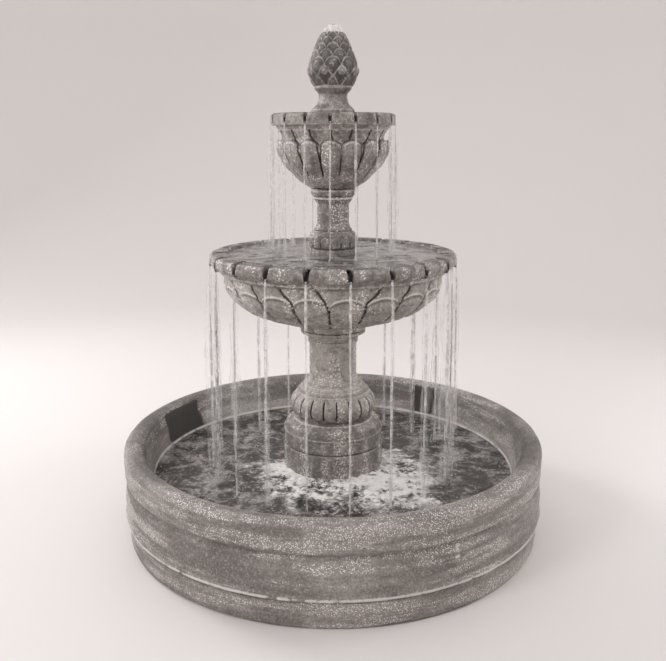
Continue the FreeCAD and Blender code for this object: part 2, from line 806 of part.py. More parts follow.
# ---------------------------------------------------------------- pool fittings
def make_drain_collar():
    outer, low = drain_bore + drain_wall, drain_recess - drain_nut_height - 5
    body = turned([
        (drain_bore, low),
        (outer, low, 0.8),
        (outer, pool_floor + drain_washer),
        (drain_flange_radius, pool_floor + drain_washer),
        (drain_flange_radius, pool_floor + drain_washer + drain_flange, 2),
        (drain_bore + plug_taper, pool_floor + drain_washer + drain_flange, 0.8),
        (drain_bore, pool_floor + drain_washer + drain_flange - plug_depth - 2),
    ])
    body.translate(V(drain_x, drain_y, 0))
    return body


def make_drain_washer():
    return tube(drain_flange_radius - 1, drain_bore + drain_wall, pool_floor, pool_floor + drain_washer,
                drain_x, drain_y)


def make_drain_nut():
    low = drain_recess - drain_nut_height
    corners = []
    for i in range(6):
        turn = math.radians(60 * i)
        corners.append(V(drain_nut_radius * math.cos(turn), drain_nut_radius * math.sin(turn), low))
    nut = Part.Face(Part.makePolygon(corners + corners[:1])).extrude(V(0, 0, drain_nut_height))
    nut.translate(V(drain_x, drain_y, 0))
    return nut.cut(tube(drain_bore + drain_wall, 0, 0, 2 * drain_recess, drain_x, drain_y))


def make_drain_plug():
    """Tapered rubber plug with a moulded pull tab."""
    seat = pool_floor + drain_washer + drain_flange
    plug = turned([
        (0, seat - plug_depth),
        (drain_bore - plug_clearance, seat - plug_depth, 1),
        (drain_bore + plug_taper - plug_clearance - 0.4, seat + plug_clearance),
        (drain_bore + 5, seat + plug_clearance, 1),
        (drain_bore + 5, seat + plug_clearance + plug_cap_height, 2),
        (0, seat + plug_clearance + plug_cap_height),
    ])
    cap = seat + plug_clearance + plug_cap_height
    tab = block(tab_width, tab_thickness, tab_height + 1, 0, 0, cap - 1)
    eye = Part.makeCylinder(tab_eye_radius, 2 * tab_thickness, V(0, -tab_thickness, cap + 2 * tab_eye_radius),
                            V(0, 1, 0))
    plug = plug.fuse(tab).cut(eye)
    plug.translate(V(drain_x, drain_y, 0))
    return plug


def make_cord_bung():
    """Split rubber bung in the floor, which the pump's cord passes through."""
    bottom = channel_depth + 2
    bung = tube(cord_hole_radius, 0, bottom, pool_floor, cord_hole_x, cord_hole_y)
    lip = tube(cord_hole_radius + bung_lip, 0, pool_floor, pool_floor + bung_lip_height,
               cord_hole_x, cord_hole_y)
    hole = tube(cord_radius, 0, 0, pool_floor + 10, cord_hole_x, cord_hole_y)
    slit = Part.makeBox(cord_hole_radius + bung_lip + 2, bung_slit, pool_floor + 10,
                        V(cord_hole_x, cord_hole_y - bung_slit / 2, 0))
    return bung.fuse(lip).cut([hole, slit])


def make_pads():
    pad = Part.makeCylinder(pad_radius, pad_height, V(0, -(plinth_radius - plinth_wall / 2), pool_floor))
    return around(pad, arches, 180.0 / arches)


def make_shims(face_below, face_above, height):
    # a shim touches both faces, so it stands inside the smaller one
    edge = min(face_below, face_above) - shim_margin
    piece = block(shim_size, shim_size, shim, 0, -(edge - shim_size / 2), height)
    return around(piece, 3, 60)


# ---------------------------------------------------------------- write every node
def main():
    os.makedirs("parts", exist_ok=True)
    save("pool_basin", make_pool_basin())
    save("plinth", make_plinth())
    save("pedestal", make_pedestal())
    save("lower_bowl", make_lower_bowl())
    save("upper_pedestal", make_upper_pedestal())
    save("upper_bowl", make_upper_bowl())
    save("finial", make_finial())

    save("plinth_pads", *make_pads())
    save("pedestal_shims", *make_shims(plinth_radius, moulding_radius, plinth_top))
    save("lower_bowl_shims", *make_shims(capital_radius, lower_foot_radius, pedestal_top))
    save("upper_pedestal_shims", *make_shims(lower_seat_radius, block_radius, lower_seat))
    save("upper_bowl_shims", *make_shims(upper_capital_radius, upper_foot_radius, column_top))

    save("lower_stopper", make_stopper(lower_base, lower_seat_height))
    save("upper_stopper", make_stopper(upper_base, upper_seat_height))
    save("lower_pipe", tube(pipe_radius, pipe_radius - pipe_wall, lower_pipe_bottom, lower_pipe_top))
    save("upper_pipe", tube(pipe_radius, pipe_radius - pipe_wall, upper_pipe_bottom, upper_pipe_top))
    save("lower_hose", tube(hose_radius, pipe_radius, hose_start, lower_pipe_bottom + hose_grip))
    save("upper_hose", tube(hose_radius, pipe_radius, lower_pipe_top - hose_grip,
                            upper_pipe_bottom + hose_grip))
    save("outlet_barb", make_barb())
    clamp_heights = (hose_start + hose_grip / 2, lower_pipe_bottom + hose_grip / 2,
                     lower_pipe_top - hose_grip / 2, upper_pipe_bottom + hose_grip / 2)
    clamps = [make_clamp(height) for height in clamp_heights]
    save("hose_clamp_bands", *[band for band, _ in clamps])
    save("hose_clamp_screws", *[screw for _, screw in clamps])

    save("pump_housing", make_pump_housing())
    save("pump_volute", make_volute())
    save("pump_o_ring", make_o_ring())
    save("volute_screws", *make_screws())
    save("impeller", make_impeller())
    save("rotor_pin", make_pin())
    save("front_bush", make_bush(volute_front + 1, volute_front + volute_wall + 2, False))
    save("rear_bush", make_bush(well_back, well_back + bush_length, True))
    save("intake_strainer", make_strainer())
    save("filter_foam", make_foam())
    save("flow_dial", make_flow_dial())
    save("suction_cups", *make_suction_cups())
    save("cord_gland", make_gland())

    save("drain_collar", make_drain_collar())
    save("drain_washer", make_drain_washer())
    save("drain_nut", make_drain_nut())
    save("drain_plug", make_drain_plug())
    save("cord_bung", make_cord_bung())


main()
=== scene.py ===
"""A cast-stone fountain with running water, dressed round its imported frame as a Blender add-on.

Every size that the frame knows comes from it; what only the carving, the water and the finishes need is
kept in the property groups below.  Lengths are metres, and MM turns a millimetre into one.
"""

import json
import math

import bpy
import numpy as np
from bpy.props import FloatProperty, FloatVectorProperty, IntProperty, PointerProperty
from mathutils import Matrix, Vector


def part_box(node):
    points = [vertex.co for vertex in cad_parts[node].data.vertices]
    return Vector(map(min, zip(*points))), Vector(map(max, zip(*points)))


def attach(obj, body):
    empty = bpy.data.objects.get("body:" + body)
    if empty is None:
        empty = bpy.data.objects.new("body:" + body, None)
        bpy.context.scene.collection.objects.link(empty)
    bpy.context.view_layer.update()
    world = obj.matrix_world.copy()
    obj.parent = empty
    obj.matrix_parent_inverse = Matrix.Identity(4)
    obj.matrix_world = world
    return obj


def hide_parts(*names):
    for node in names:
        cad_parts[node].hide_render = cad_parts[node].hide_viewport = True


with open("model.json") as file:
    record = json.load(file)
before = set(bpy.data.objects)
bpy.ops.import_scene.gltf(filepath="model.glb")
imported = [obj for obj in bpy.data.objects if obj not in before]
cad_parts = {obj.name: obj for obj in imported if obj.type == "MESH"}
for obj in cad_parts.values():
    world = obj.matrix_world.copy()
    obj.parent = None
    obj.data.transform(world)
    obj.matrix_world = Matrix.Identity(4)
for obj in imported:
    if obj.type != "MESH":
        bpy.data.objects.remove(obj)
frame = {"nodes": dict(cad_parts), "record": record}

bl_info = {
    "name": "Tiered stone fountain",
    "version": (1, 0, 0),
    "blender": (4, 5, 0),
    "location": "3D View > Sidebar > Fountain",
    "description": "Carved cast stone, fittings and running water for a tiered fountain",
    "category": "Object",
}

MM = 0.001
TURN = 2 * math.pi
FRONT = -math.pi / 2          # the direction of -Y, from which the carving is counted
POOL_WALL = 84 * MM           # pool wall at the water's edge
LOWER_RIM_WIDTH = 50 * MM
LOWER_RIM_HEIGHT = 38 * MM
UPPER_RIM_WIDTH = 32 * MM
UPPER_RIM_HEIGHT = 32 * MM
UPPER_SPOUT_FOOT = 30 * MM    # below the upper rim's top, where its spouts begin to squeeze the stone
SPOUT_FILL = 0.92             # share of a spout's depth at which the water leaves it
UPPER_REACH = 0.5             # reach of the upper bowl's strands, as a share of the lower bowl's
UPPER_STRAND = 0.62           # width of the upper bowl's strands, as a share of the lower bowl's
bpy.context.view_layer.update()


# ---------------------------------------------------------------- sizes and colours
def length(name, description, default):
    return FloatProperty(name=name, description=description, default=default, min=0.0, unit="LENGTH",
                         precision=4)


def count(name, description, default):
    return IntProperty(name=name, description=description, default=default, min=3)


def angle(name, description, degrees):
    return FloatProperty(name=name, description=description, default=math.radians(degrees), unit="ROTATION")


def colour(name, description, default):
    return FloatVectorProperty(name=name, description=description, default=default, subtype="COLOR",
                               min=0.0, max=1.0, size=3)


class FountainStone(bpy.types.PropertyGroup):
    """Carving, weathering, painted highlights and painted shade of the cast-stone tiers."""
    lower_sectors: count("Lower bowl petals", "Petals, and spouts, round the lower bowl", 20)
    lower_turn: angle("Lower bowl turn", "Turn of the first spout from the front", 7.1)
    lower_notch: length("Lower spout width", "Width of a lower spout at the top", 18 * MM)
    lower_notch_depth: length("Lower spout depth", "Depth of a lower spout at the outside", 33 * MM)
    petal_top: length("Petal height", "Height of a petal's rounded top above the bowl's foot", 143 * MM)
    petal_join: length("Petal joint", "Height above the foot where two petals part", 116 * MM)
    petal_lean: angle("Leaf lean", "How far an upper leaf's edge leans before it meets the bead", 6.8)
    upper_sectors: count("Upper bowl lobes", "Lobes, and spouts, round the upper bowl", 16)
    upper_turn: angle("Upper bowl turn", "Turn of the first spout from the front", -2.6)
    upper_notch: length("Upper spout width", "Width of an upper spout at the top", 11 * MM)
    upper_notch_depth: length("Upper spout depth", "Depth of an upper spout at the outside", 26 * MM)
    lobe_lean: angle("Lobe lean", "How far a groove above the lobes leans", 11.0)
    flutes: count("Flutes", "Flutes round the pedestal's swelling band", 20)
    flute_turn: angle("Flute turn", "Turn of the first flute from the front", 5.2)
    scales: count("Scales", "Scales in one row of the finial", 9)
    groove_depth: length("Groove depth", "Depth of a carved groove", 4.5 * MM)
    lump: length("Unevenness", "Height of the casting's soft unevenness", 0.9 * MM)
    pit: length("Pitting", "Height of the surface's small pits", 0.45 * MM)
    wet: colour("Wet stone", "Colour of the wetted tiers", (0.278, 0.254, 0.238))
    dry: colour("Dry stone", "Colour of the drier pool wall", (0.256, 0.234, 0.219))
    # The lime colour also paints the highlights along raised crests.
    lime: colour("Lime", "Colour of the lime specks and worn edges", (0.74, 0.71, 0.69))
    # This colour also paints the shade in carved grooves and hollows.
    stain_and_shade: colour("Stain", "Colour of the dark stains and the grooves' bottoms", (0.045, 0.038, 0.035))


class FountainWater(bpy.types.PropertyGroup):
    """Water in the pool and the bowls, and what falls between them."""
    pool_level: length("Pool level", "Height of the water in the pool", 172 * MM)
    lower_level: length("Lower bowl level", "Water below the lower rim", 6 * MM)
    upper_level: length("Upper bowl level", "Water below the upper rim", 8 * MM)
    ripple: length("Ripple", "Height of the pool's ripples", 1.6 * MM)
    foam: length("Foam", "Height of the foam round the plinth", 13 * MM)
    strand: length("Strand", "Half width of a falling strand", 3.6 * MM)
    fall_reach: length("Reach", "How far a strand moves outwards while it falls", 9 * MM)
    deep: colour("Deep water", "Colour of still water over dark stone", (0.050, 0.045, 0.042))
    shallow: colour("Stirred water", "Colour of stirred water", (0.235, 0.216, 0.205))
    froth: colour("Froth", "Colour of foam and broken water", (0.86, 0.84, 0.83))


class FountainStage(bpy.types.PropertyGroup):
    """Camera, lights and floor."""
    distance: length("Camera distance", "Distance of the camera from the fountain's axis", 2.275)
    height: length("Camera height", "Height of the camera above the ground", 1.1285)
    tilt: angle("Camera tilt", "Downward tilt of the camera", 13.5)
    lens: FloatProperty(name="Lens", description="Focal length in millimetres", default=43.24, unit="CAMERA")
    key: FloatProperty(name="Key light", description="Power of the large light behind on the left, in watts",
                       default=50.0, min=0.0)
    fill: FloatProperty(name="Fill light", description="Power of the light in front on the left, in watts",
                        default=34.0, min=0.0)
    edge: FloatProperty(name="Edge light", description="Power of the light behind on the right, in watts",
                        default=22.0, min=0.0)
    sky: FloatProperty(name="Surround", description="Strength of the pale surround", default=0.95, min=0.0)
    paper: colour("Backdrop", "Colour of the floor and backdrop", (0.74, 0.712, 0.70))


# ---------------------------------------------------------------- numbers on whole arrays
def smooth(low, high, x):
    """Soft step: 0 below low, 1 above high, 3t^2 - 2t^3 between."""
    t = np.clip((x - low) / (high - low), 0.0, 1.0)
    return t * t * (3 - 2 * t)


def bell(x, width):
    """Gaussian bump exp(-(x / width)^2)."""
    return np.exp(-np.square(x / width))


def from_middle(turn, sectors, first):
    """Signed angle to the nearest sector's middle; the middles lie at first + k * TURN / sectors."""
    pitch = TURN / sectors
    return np.mod(turn - first + pitch / 2, pitch) - pitch / 2


def half_turn(turn):
    """Angle brought into -pi to pi."""
    return np.mod(turn + math.pi, TURN) - math.pi


def lattice(ix, iy, iz, seed):
    """Repeatable number from 0 to 1 for each whole-numbered lattice point, by mixing its bits."""
    with np.errstate(over="ignore"):
        n = (ix.astype(np.uint32) * np.uint32(374761393) + iy.astype(np.uint32) * np.uint32(668265263)
             + iz.astype(np.uint32) * np.uint32(2246822519) + np.uint32(seed * 3266489917 % 2 ** 32))
        n = (n ^ (n >> np.uint32(13))) * np.uint32(1274126177)
        n = (n ^ (n >> np.uint32(15))) * np.uint32(2654435761)
    return (n ^ (n >> np.uint32(16))).astype(np.float64) / 2 ** 32


def noise(points, size, seed=0, octaves=1):
    """Value noise from -1 to 1: random lattice values eased together over cells of the given size."""
    total, reach = 0.0, 0.0
    for octave in range(octaves):
        p = points * (2 ** octave / size) + 57.3
        cell = np.floor(p).astype(np.int64)
        t = p - cell
        t = t * t * (3 - 2 * t)
        value = 0.0
        for dx in (0, 1):
            for dy in (0, 1):
                for dz in (0, 1):
                    share = (np.abs(1 - dx - t[..., 0]) * np.abs(1 - dy - t[..., 1])
                             * np.abs(1 - dz - t[..., 2]))
                    value = value + share * lattice(cell[..., 0] + dx, cell[..., 1] + dy, cell[..., 2] + dz,
                                                    seed + octave)
        total = total + (2 * value - 1) / 2 ** octave
        reach += 1 / 2 ** octave
    return total / reach


# ---------------------------------------------------------------- meshes
def add_mesh(name, points, faces, attributes=None):
    """Mesh object from arrays, turned so that its faces point outwards (positive enclosed volume).

    A corner that repeats the one before it is left out of its face, so a quad that meets a pole becomes
    a triangle, and points that no face uses are dropped.
    """
    a, b, c = (points[faces[:, i]] for i in (0, 1, 2))
    volume = np.einsum("ij,ij->i", a, np.cross(b, c)).sum()
    if faces.shape[1] == 4:
        d = points[faces[:, 3]]
        volume += np.einsum("ij,ij->i", a, np.cross(c, d)).sum()
    if volume < 0:
        faces = faces[:, ::-1]
    distinct = faces != np.roll(faces, 1, axis=1)
    solid = distinct.sum(axis=1) > 2
    faces, distinct = faces[solid], distinct[solid]
    sides = distinct.sum(axis=1)
    used, corners = np.unique(faces[distinct], return_inverse=True)
    mesh = bpy.data.meshes.new(name)
    mesh.vertices.add(len(used))
    mesh.vertices.foreach_set("co", np.ascontiguousarray(points[used], dtype=np.float32).ravel())
    mesh.loops.add(len(corners))
    mesh.loops.foreach_set("vertex_index", corners.ravel().astype(np.int32))
    mesh.polygons.add(len(faces))
    mesh.polygons.foreach_set("loop_start", (np.cumsum(sides) - sides).astype(np.int32))
    mesh.update(calc_edges=True)
    for key, values in (attributes or {}).items():
        layer = mesh.attributes.new(key, "FLOAT", "POINT")
        layer.data.foreach_set("value", np.ascontiguousarray(values, dtype=np.float32).ravel()[used])
    mesh.shade_smooth()
    piece = bpy.data.objects.new(name, mesh)
    bpy.context.scene.collection.objects.link(piece)
    return piece


def grid_faces(rows, columns, close_rows=True):
    """Quads of a grid; each row joins its own start, and with close_rows the last row joins the first."""
    r = np.arange(rows if close_rows else rows - 1)
    r, c = np.meshgrid(r, np.arange(columns), indexing="ij")
    r2, c2 = (r + 1) % rows, (c + 1) % columns
    quads = np.stack([r * columns + c, r * columns + c2, r2 * columns + c2, r2 * columns + c], axis=-1)
    return quads.reshape(-1, 4)


def pole_faces(faces, columns):
    """Faces whose first row of points is taken together into one point."""
    return np.where(faces < columns, 0, faces)


def fan(i, j, middle):
    """Triangles from edges i to j to one middle point, written as quads that repeat it."""
    return np.stack([i, j, np.full(len(i), middle), np.full(len(i), middle)], axis=1)


def outline(corners, step):
    """Profile through (radius, height, corner radius) corners, closed, as an array of points.

    Each rounded corner is the arc tangent to its two sides, and points stand no further apart than
    step(radius, height) on sides and arcs alike.
    """
    corner = np.array([c[:2] for c in corners], float)
    rounding = [c[2] if len(c) > 2 else 0.0 for c in corners]
    count = len(corner)
    pieces = []
    for i in range(count):
        p, before, after = corner[i], corner[i - 1], corner[(i + 1) % count]
        u, v = before - p, after - p
        lu, lv = np.hypot(*u), np.hypot(*v)
        u, v = u / lu, v / lv
        half = math.acos(float(np.clip(u @ v, -1, 1))) / 2
        if rounding[i] <= 0 or half > math.pi / 2 - 1e-3:
            pieces.append(p[None])
            continue
        reach = min(rounding[i] / math.tan(half), 0.49 * lu, 0.49 * lv)
        radius = reach * math.tan(half)
        centre = p + (u + v) / np.hypot(*(u + v)) * radius / math.sin(half)
        a, b = p + u * reach - centre, p + v * reach - centre
        start = math.atan2(a[1], a[0])
        sweep = float(half_turn(math.atan2(b[1], b[0]) - start))
        parts = max(2, int(math.ceil(abs(sweep) * radius / step(*p))))
        t = start + sweep * np.linspace(0, 1, parts + 1)
        pieces.append(centre + radius * np.stack([np.cos(t), np.sin(t)], axis=1))
    filled = []
    for i, piece in enumerate(pieces):
        end, start = piece[-1], pieces[(i + 1) % count][0]
        parts = max(1, int(math.ceil(np.hypot(*(start - end)) / step(*((start + end) / 2)))))
        between = end + (start - end) * (np.arange(1, parts) / parts)[:, None]
        filled += [piece, between]
    points = np.concatenate(filled)
    gap = np.hypot(*(points - np.roll(points, 1, axis=0)).T)
    return points[gap > 1e-6]


def crowded(sectors, per_sector, first, share=0.0):
    """Angles round the axis, crowded towards each sector's middle: u - share * sin(pi u) / pi."""
    u = np.linspace(-1, 1, per_sector, endpoint=False)
    u = u - share * np.sin(math.pi * u) / math.pi
    middles = first + np.arange(sectors) * TURN / sectors
    return (middles[:, None] + u[None] * math.pi / sectors).ravel()


def turned(name, profile, turns, carve, poles=False):
    """Stone turned about Z: point (r, z) of the profile, at angle a, goes to (r cos a, r sin a, z).

    carve(turn, r, z, points) returns how far each point moves outwards along the profile's normal, the
    new height that spouts give it, and the groove and crest strengths that the finish reads: groove
    darkens as stains and as painted shade in hollows, crest lightens as wear and as painted highlight.
    """
    stone = bpy.context.scene.fountain_stone
    ahead = np.roll(profile, -1, axis=0)
    tangent = ahead - np.roll(profile, 1, axis=0)
    tangent /= np.maximum(np.hypot(*tangent.T), 1e-9)[:, None]
    normal = np.stack([tangent[:, 1], -tangent[:, 0]], axis=1)
    area = 0.5 * np.sum(profile[:, 0] * ahead[:, 1] - ahead[:, 0] * profile[:, 1])
    normal *= np.sign(area)
    r, a = np.meshgrid(profile[:, 0], turns, indexing="ij")
    z = np.repeat(profile[:, 1:], len(turns), axis=1)
    points = np.stack([r * np.cos(a), r * np.sin(a), z], axis=-1)
    out, height, groove, crest = carve(a - FRONT, r, z, points)
    out = out + stone.lump * noise(points, 60 * MM, 3, 2) + stone.pit * noise(points, 9 * MM, 11, 2)
    ends = smooth(0, 4 * MM, z - z.min()) * smooth(0, 4 * MM, z.max() - z)
    out = out * np.maximum(ends, np.abs(normal[:, :1]) > 0.9)
    r2 = r + out * normal[:, :1]
    z2 = height + out * normal[:, 1:] * (np.abs(normal[:, 1:]) < 0.999)
    if poles:
        r2 = np.where(r < 1e-6, 0.0, r2)
        z2 = np.where(r < 1e-6, height, z2)
    points = np.stack([r2 * np.cos(a), r2 * np.sin(a), z2], axis=-1).reshape(-1, 3)
    faces = grid_faces(len(profile), len(turns), close_rows=not poles)
    if poles:
        last = (len(profile) - 1) * len(turns)
        faces = pole_faces(np.where(faces >= last, last, faces), len(turns))
    return add_mesh(name, points, faces, {"groove": groove, "crest": crest})


def plain(turn, r, z, points):
    """Carving that leaves the turned shape alone; it takes what every carving takes."""
    return np.zeros_like(r), z, np.zeros_like(r), np.zeros_like(r)


def cut_away(piece, cutters):
    """Takes closed cutter shapes out of a closed piece."""
    for cutter in cutters:
        modifier = piece.modifiers.new("cut", "BOOLEAN")
        modifier.operation = "DIFFERENCE"
        modifier.solver = "MANIFOLD"
        modifier.object = cutter
    bpy.context.view_layer.update()
    evaluated = piece.evaluated_get(bpy.context.evaluated_depsgraph_get())
    cut = bpy.data.meshes.new_from_object(evaluated)
    piece.modifiers.clear()
    cut.materials.clear()
    cut.polygons.foreach_set("material_index", np.zeros(len(cut.polygons), np.int32))
    piece.data = cut
    for cutter in cutters:
        bpy.data.objects.remove(cutter)
    return piece


def post(radius, low, high, x=0.0, y=0.0, sides=72):
    """Closed upright cylinder: two rings of points and a point in the middle of each end."""
    t = np.arange(sides) * TURN / sides
    ring = np.stack([x + radius * np.cos(t), y + radius * np.sin(t)], axis=1)
    points = np.concatenate([np.c_[ring, np.full(sides, low)], np.c_[ring, np.full(sides, high)],
                             [[x, y, low], [x, y, high]]])
    i = np.arange(sides)
    j = (i + 1) % sides
    walls = np.stack([i, j, j + sides, i + sides], axis=1)
    bottom, top = fan(j, i, 2 * sides), fan(i + sides, j + sides, 2 * sides + 1)
    return add_mesh("post", points, np.concatenate([walls, bottom, top]))


def slab(low, high):
    """Closed box between two corners."""
    x, y, z = (np.array([a, b]) for a, b in zip(low, high))
    points = np.array([[x[i], y[j], z[k]] for k in (0, 1) for j in (0, 1) for i in (0, 1)])
    faces = np.array([[0, 2, 3, 1], [4, 5, 7, 6], [0, 1, 5, 4], [2, 6, 7, 3], [0, 4, 6, 2], [1, 3, 7, 5]])
    return add_mesh("slab", points, faces)


def arch_cutter(width, height, bottom, reach, across):
    """Closed bar with an arch's outline: upright sides, then a circle of radius width / 2 cut flat on top.

    It runs along Y, or along X where it goes across, to the given reach on both sides of the axis.
    """
    spring = height - width / 4
    rise = np.linspace(0, math.asin((width / 4) / (width / 2)), 8)
    side = np.stack([width / 2 * np.cos(rise), spring + width / 2 * np.sin(rise)], axis=1)
    right = np.concatenate([[[width / 2, -10 * MM]], side])
    ring = np.concatenate([right, right[::-1] * (-1, 1)])
    corners = len(ring)
    near = np.stack([ring[:, 0], np.full(corners, -reach), bottom + ring[:, 1]], axis=1)
    far = near * (1, -1, 1)
    points = np.concatenate([near, far, [[0, -reach, bottom + height / 3], [0, reach, bottom + height / 3]]])
    if across:
        points = np.stack([-points[:, 1], points[:, 0], points[:, 2]], axis=1)
    i = np.arange(corners)
    j = (i + 1) % corners
    walls = np.stack([j, i, i + corners, j + corners], axis=1)
    near_end, far_end = fan(i, j, 2 * corners), fan(j + corners, i + corners, 2 * corners + 1)
    return add_mesh("arch", points, np.concatenate([walls, near_end, far_end]))


def tier(piece, node, finish, body="fountain"):
    """Puts a finished stone piece in its CAD node's place."""
    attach(piece, body)
    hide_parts(node)
    piece.data.materials.append(finish)


def poured(piece, finish, body="fountain"):
    """Lets a piece of water ride with its body."""
    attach(piece, body)
    piece.data.materials.append(finish)


# ---------------------------------------------------------------- finishes
class Number:
    """A number socket.  Arithmetic on it adds Math nodes, so finishes read as formulas."""

    def __init__(self, finish, socket):
        self.finish, self.socket = finish, socket

    def math(self, operation, *values, clamp=False):
        node = self.finish.node("ShaderNodeMath", {"operation": operation, "use_clamp": clamp},
                                {i: value for i, value in enumerate(values)})
        return Number(self.finish, node.outputs[0])

    def __add__(self, other):
        return self.math("ADD", self, other)

    def __sub__(self, other):
        return self.math("SUBTRACT", self, other)

    def __rsub__(self, other):
        return self.math("SUBTRACT", other, self)

    def __mul__(self, other):
        return self.math("MULTIPLY", self, other)

    def __pow__(self, other):
        return self.math("POWER", self, other)

    def __abs__(self):
        return self.math("ABSOLUTE", self)

    __radd__ = __add__
    __rmul__ = __mul__

    def between(self, low, high):
        """0 at low, 1 at high, eased and held beyond them."""
        node = self.finish.node("ShaderNodeMapRange", {"interpolation_type": "SMOOTHSTEP"},
                                {"Value": self, "From Min": low, "From Max": high})
        return Number(self.finish, node.outputs["Result"])

    def within(self, low, full, fading, high):
        """Rises from 0 at low to 1 at full, and falls from 1 at fading to 0 at high."""
        return self.between(low, full) * (1 - self.between(fading, high))

    def held(self):
        """Kept between 0 and 1."""
        return self.math("ADD", self, 0.0, clamp=True)


class Finish:
    """A material and the nodes that make its pattern."""

    def __init__(self, name, **constants):
        self.material = bpy.data.materials.new(name)
        self.material.use_nodes = True
        self.tree = self.material.node_tree
        self.tree.nodes.clear()
        self.shader = self.node("ShaderNodeBsdfPrincipled")
        out = self.node("ShaderNodeOutputMaterial")
        self.tree.links.new(self.shader.outputs[0], out.inputs["Surface"])
        for key, value in constants.items():
            self.shader.inputs[key.replace("_", " ")].default_value = value
        self.place = self.node("ShaderNodeTexCoord").outputs["Object"]

    def node(self, kind, settings=None, sockets=None):
        """Adds a node of any kind, with its settings first and then its sockets' values or links."""
        made = self.tree.nodes.new(kind)
        for key, value in (settings or {}).items():
            setattr(made, key, value)
        for key, value in (sockets or {}).items():
            self.feed(made.inputs[key], value)
        return made

    def feed(self, socket, value):
        """Links a socket, or sets its own value."""
        if isinstance(value, Number):
            value = value.socket
        if isinstance(value, bpy.types.NodeSocket):
            self.tree.links.new(value, socket)
        elif hasattr(value, "__len__") and len(value) == 3 and socket.type == "RGBA":
            socket.default_value = (*value, 1.0)
        else:
            socket.default_value = value

    def stretched(self, factors):
        """Object coordinates multiplied by three factors."""
        node = self.node("ShaderNodeVectorMath", {"operation": "MULTIPLY"}, {0: self.place, 1: factors})
        return node.outputs[0]

    def noise(self, scale, detail=4.0, rough=0.55, where=None, warp=0.0):
        sockets = {"Vector": where or self.place, "Scale": scale, "Detail": detail, "Roughness": rough,
                   "Distortion": warp}
        return Number(self, self.node("ShaderNodeTexNoise", None, sockets).outputs[0])

    def cells(self, scale):
        """Distance to the nearest of scattered points."""
        node = self.node("ShaderNodeTexVoronoi", None, {"Vector": self.place, "Scale": scale})
        return Number(self, node.outputs["Distance"])

    def attribute(self, name):
        return Number(self, self.node("ShaderNodeAttribute", {"attribute_name": name}).outputs["Fac"])

    def height_and_radius(self):
        """Height of the place, and its distance from the fountain's axis."""
        split = self.node("ShaderNodeSeparateXYZ", None, {0: self.place})
        x, y, z = (Number(self, split.outputs[i]) for i in range(3))
        return z, (x * x + y * y) ** 0.5

    def mix(self, share, a, b):
        """Colour a, turning into b as the share goes from 0 to 1."""
        node = self.node("ShaderNodeMix", {"data_type": "RGBA"}, {"Factor": share})
        first, second = (socket for socket in node.inputs if socket.type == "RGBA")
        self.feed(first, a)
        self.feed(second, b)
        return [socket for socket in node.outputs if socket.type == "RGBA"][0]

    def bump(self, height, distance, strength=1.0):
        return self.node("ShaderNodeBump", None, {"Height": height, "Distance": distance,
                                                  "Strength": strength}).outputs[0]

    def wear(self, **sockets):
        """Feeds the shader's own sockets."""
        for key, value in sockets.items():
            self.feed(self.shader.inputs[key.replace("_", " ")], value)
        return self


def times(factor, shade):
    """A colour made lighter or darker, held at white."""
    return tuple(min(1.0, factor * c) for c in shade)


def made_once(name, make):
    """The material of this name, made on its first use."""
    return bpy.data.materials.get(name) or make(name)


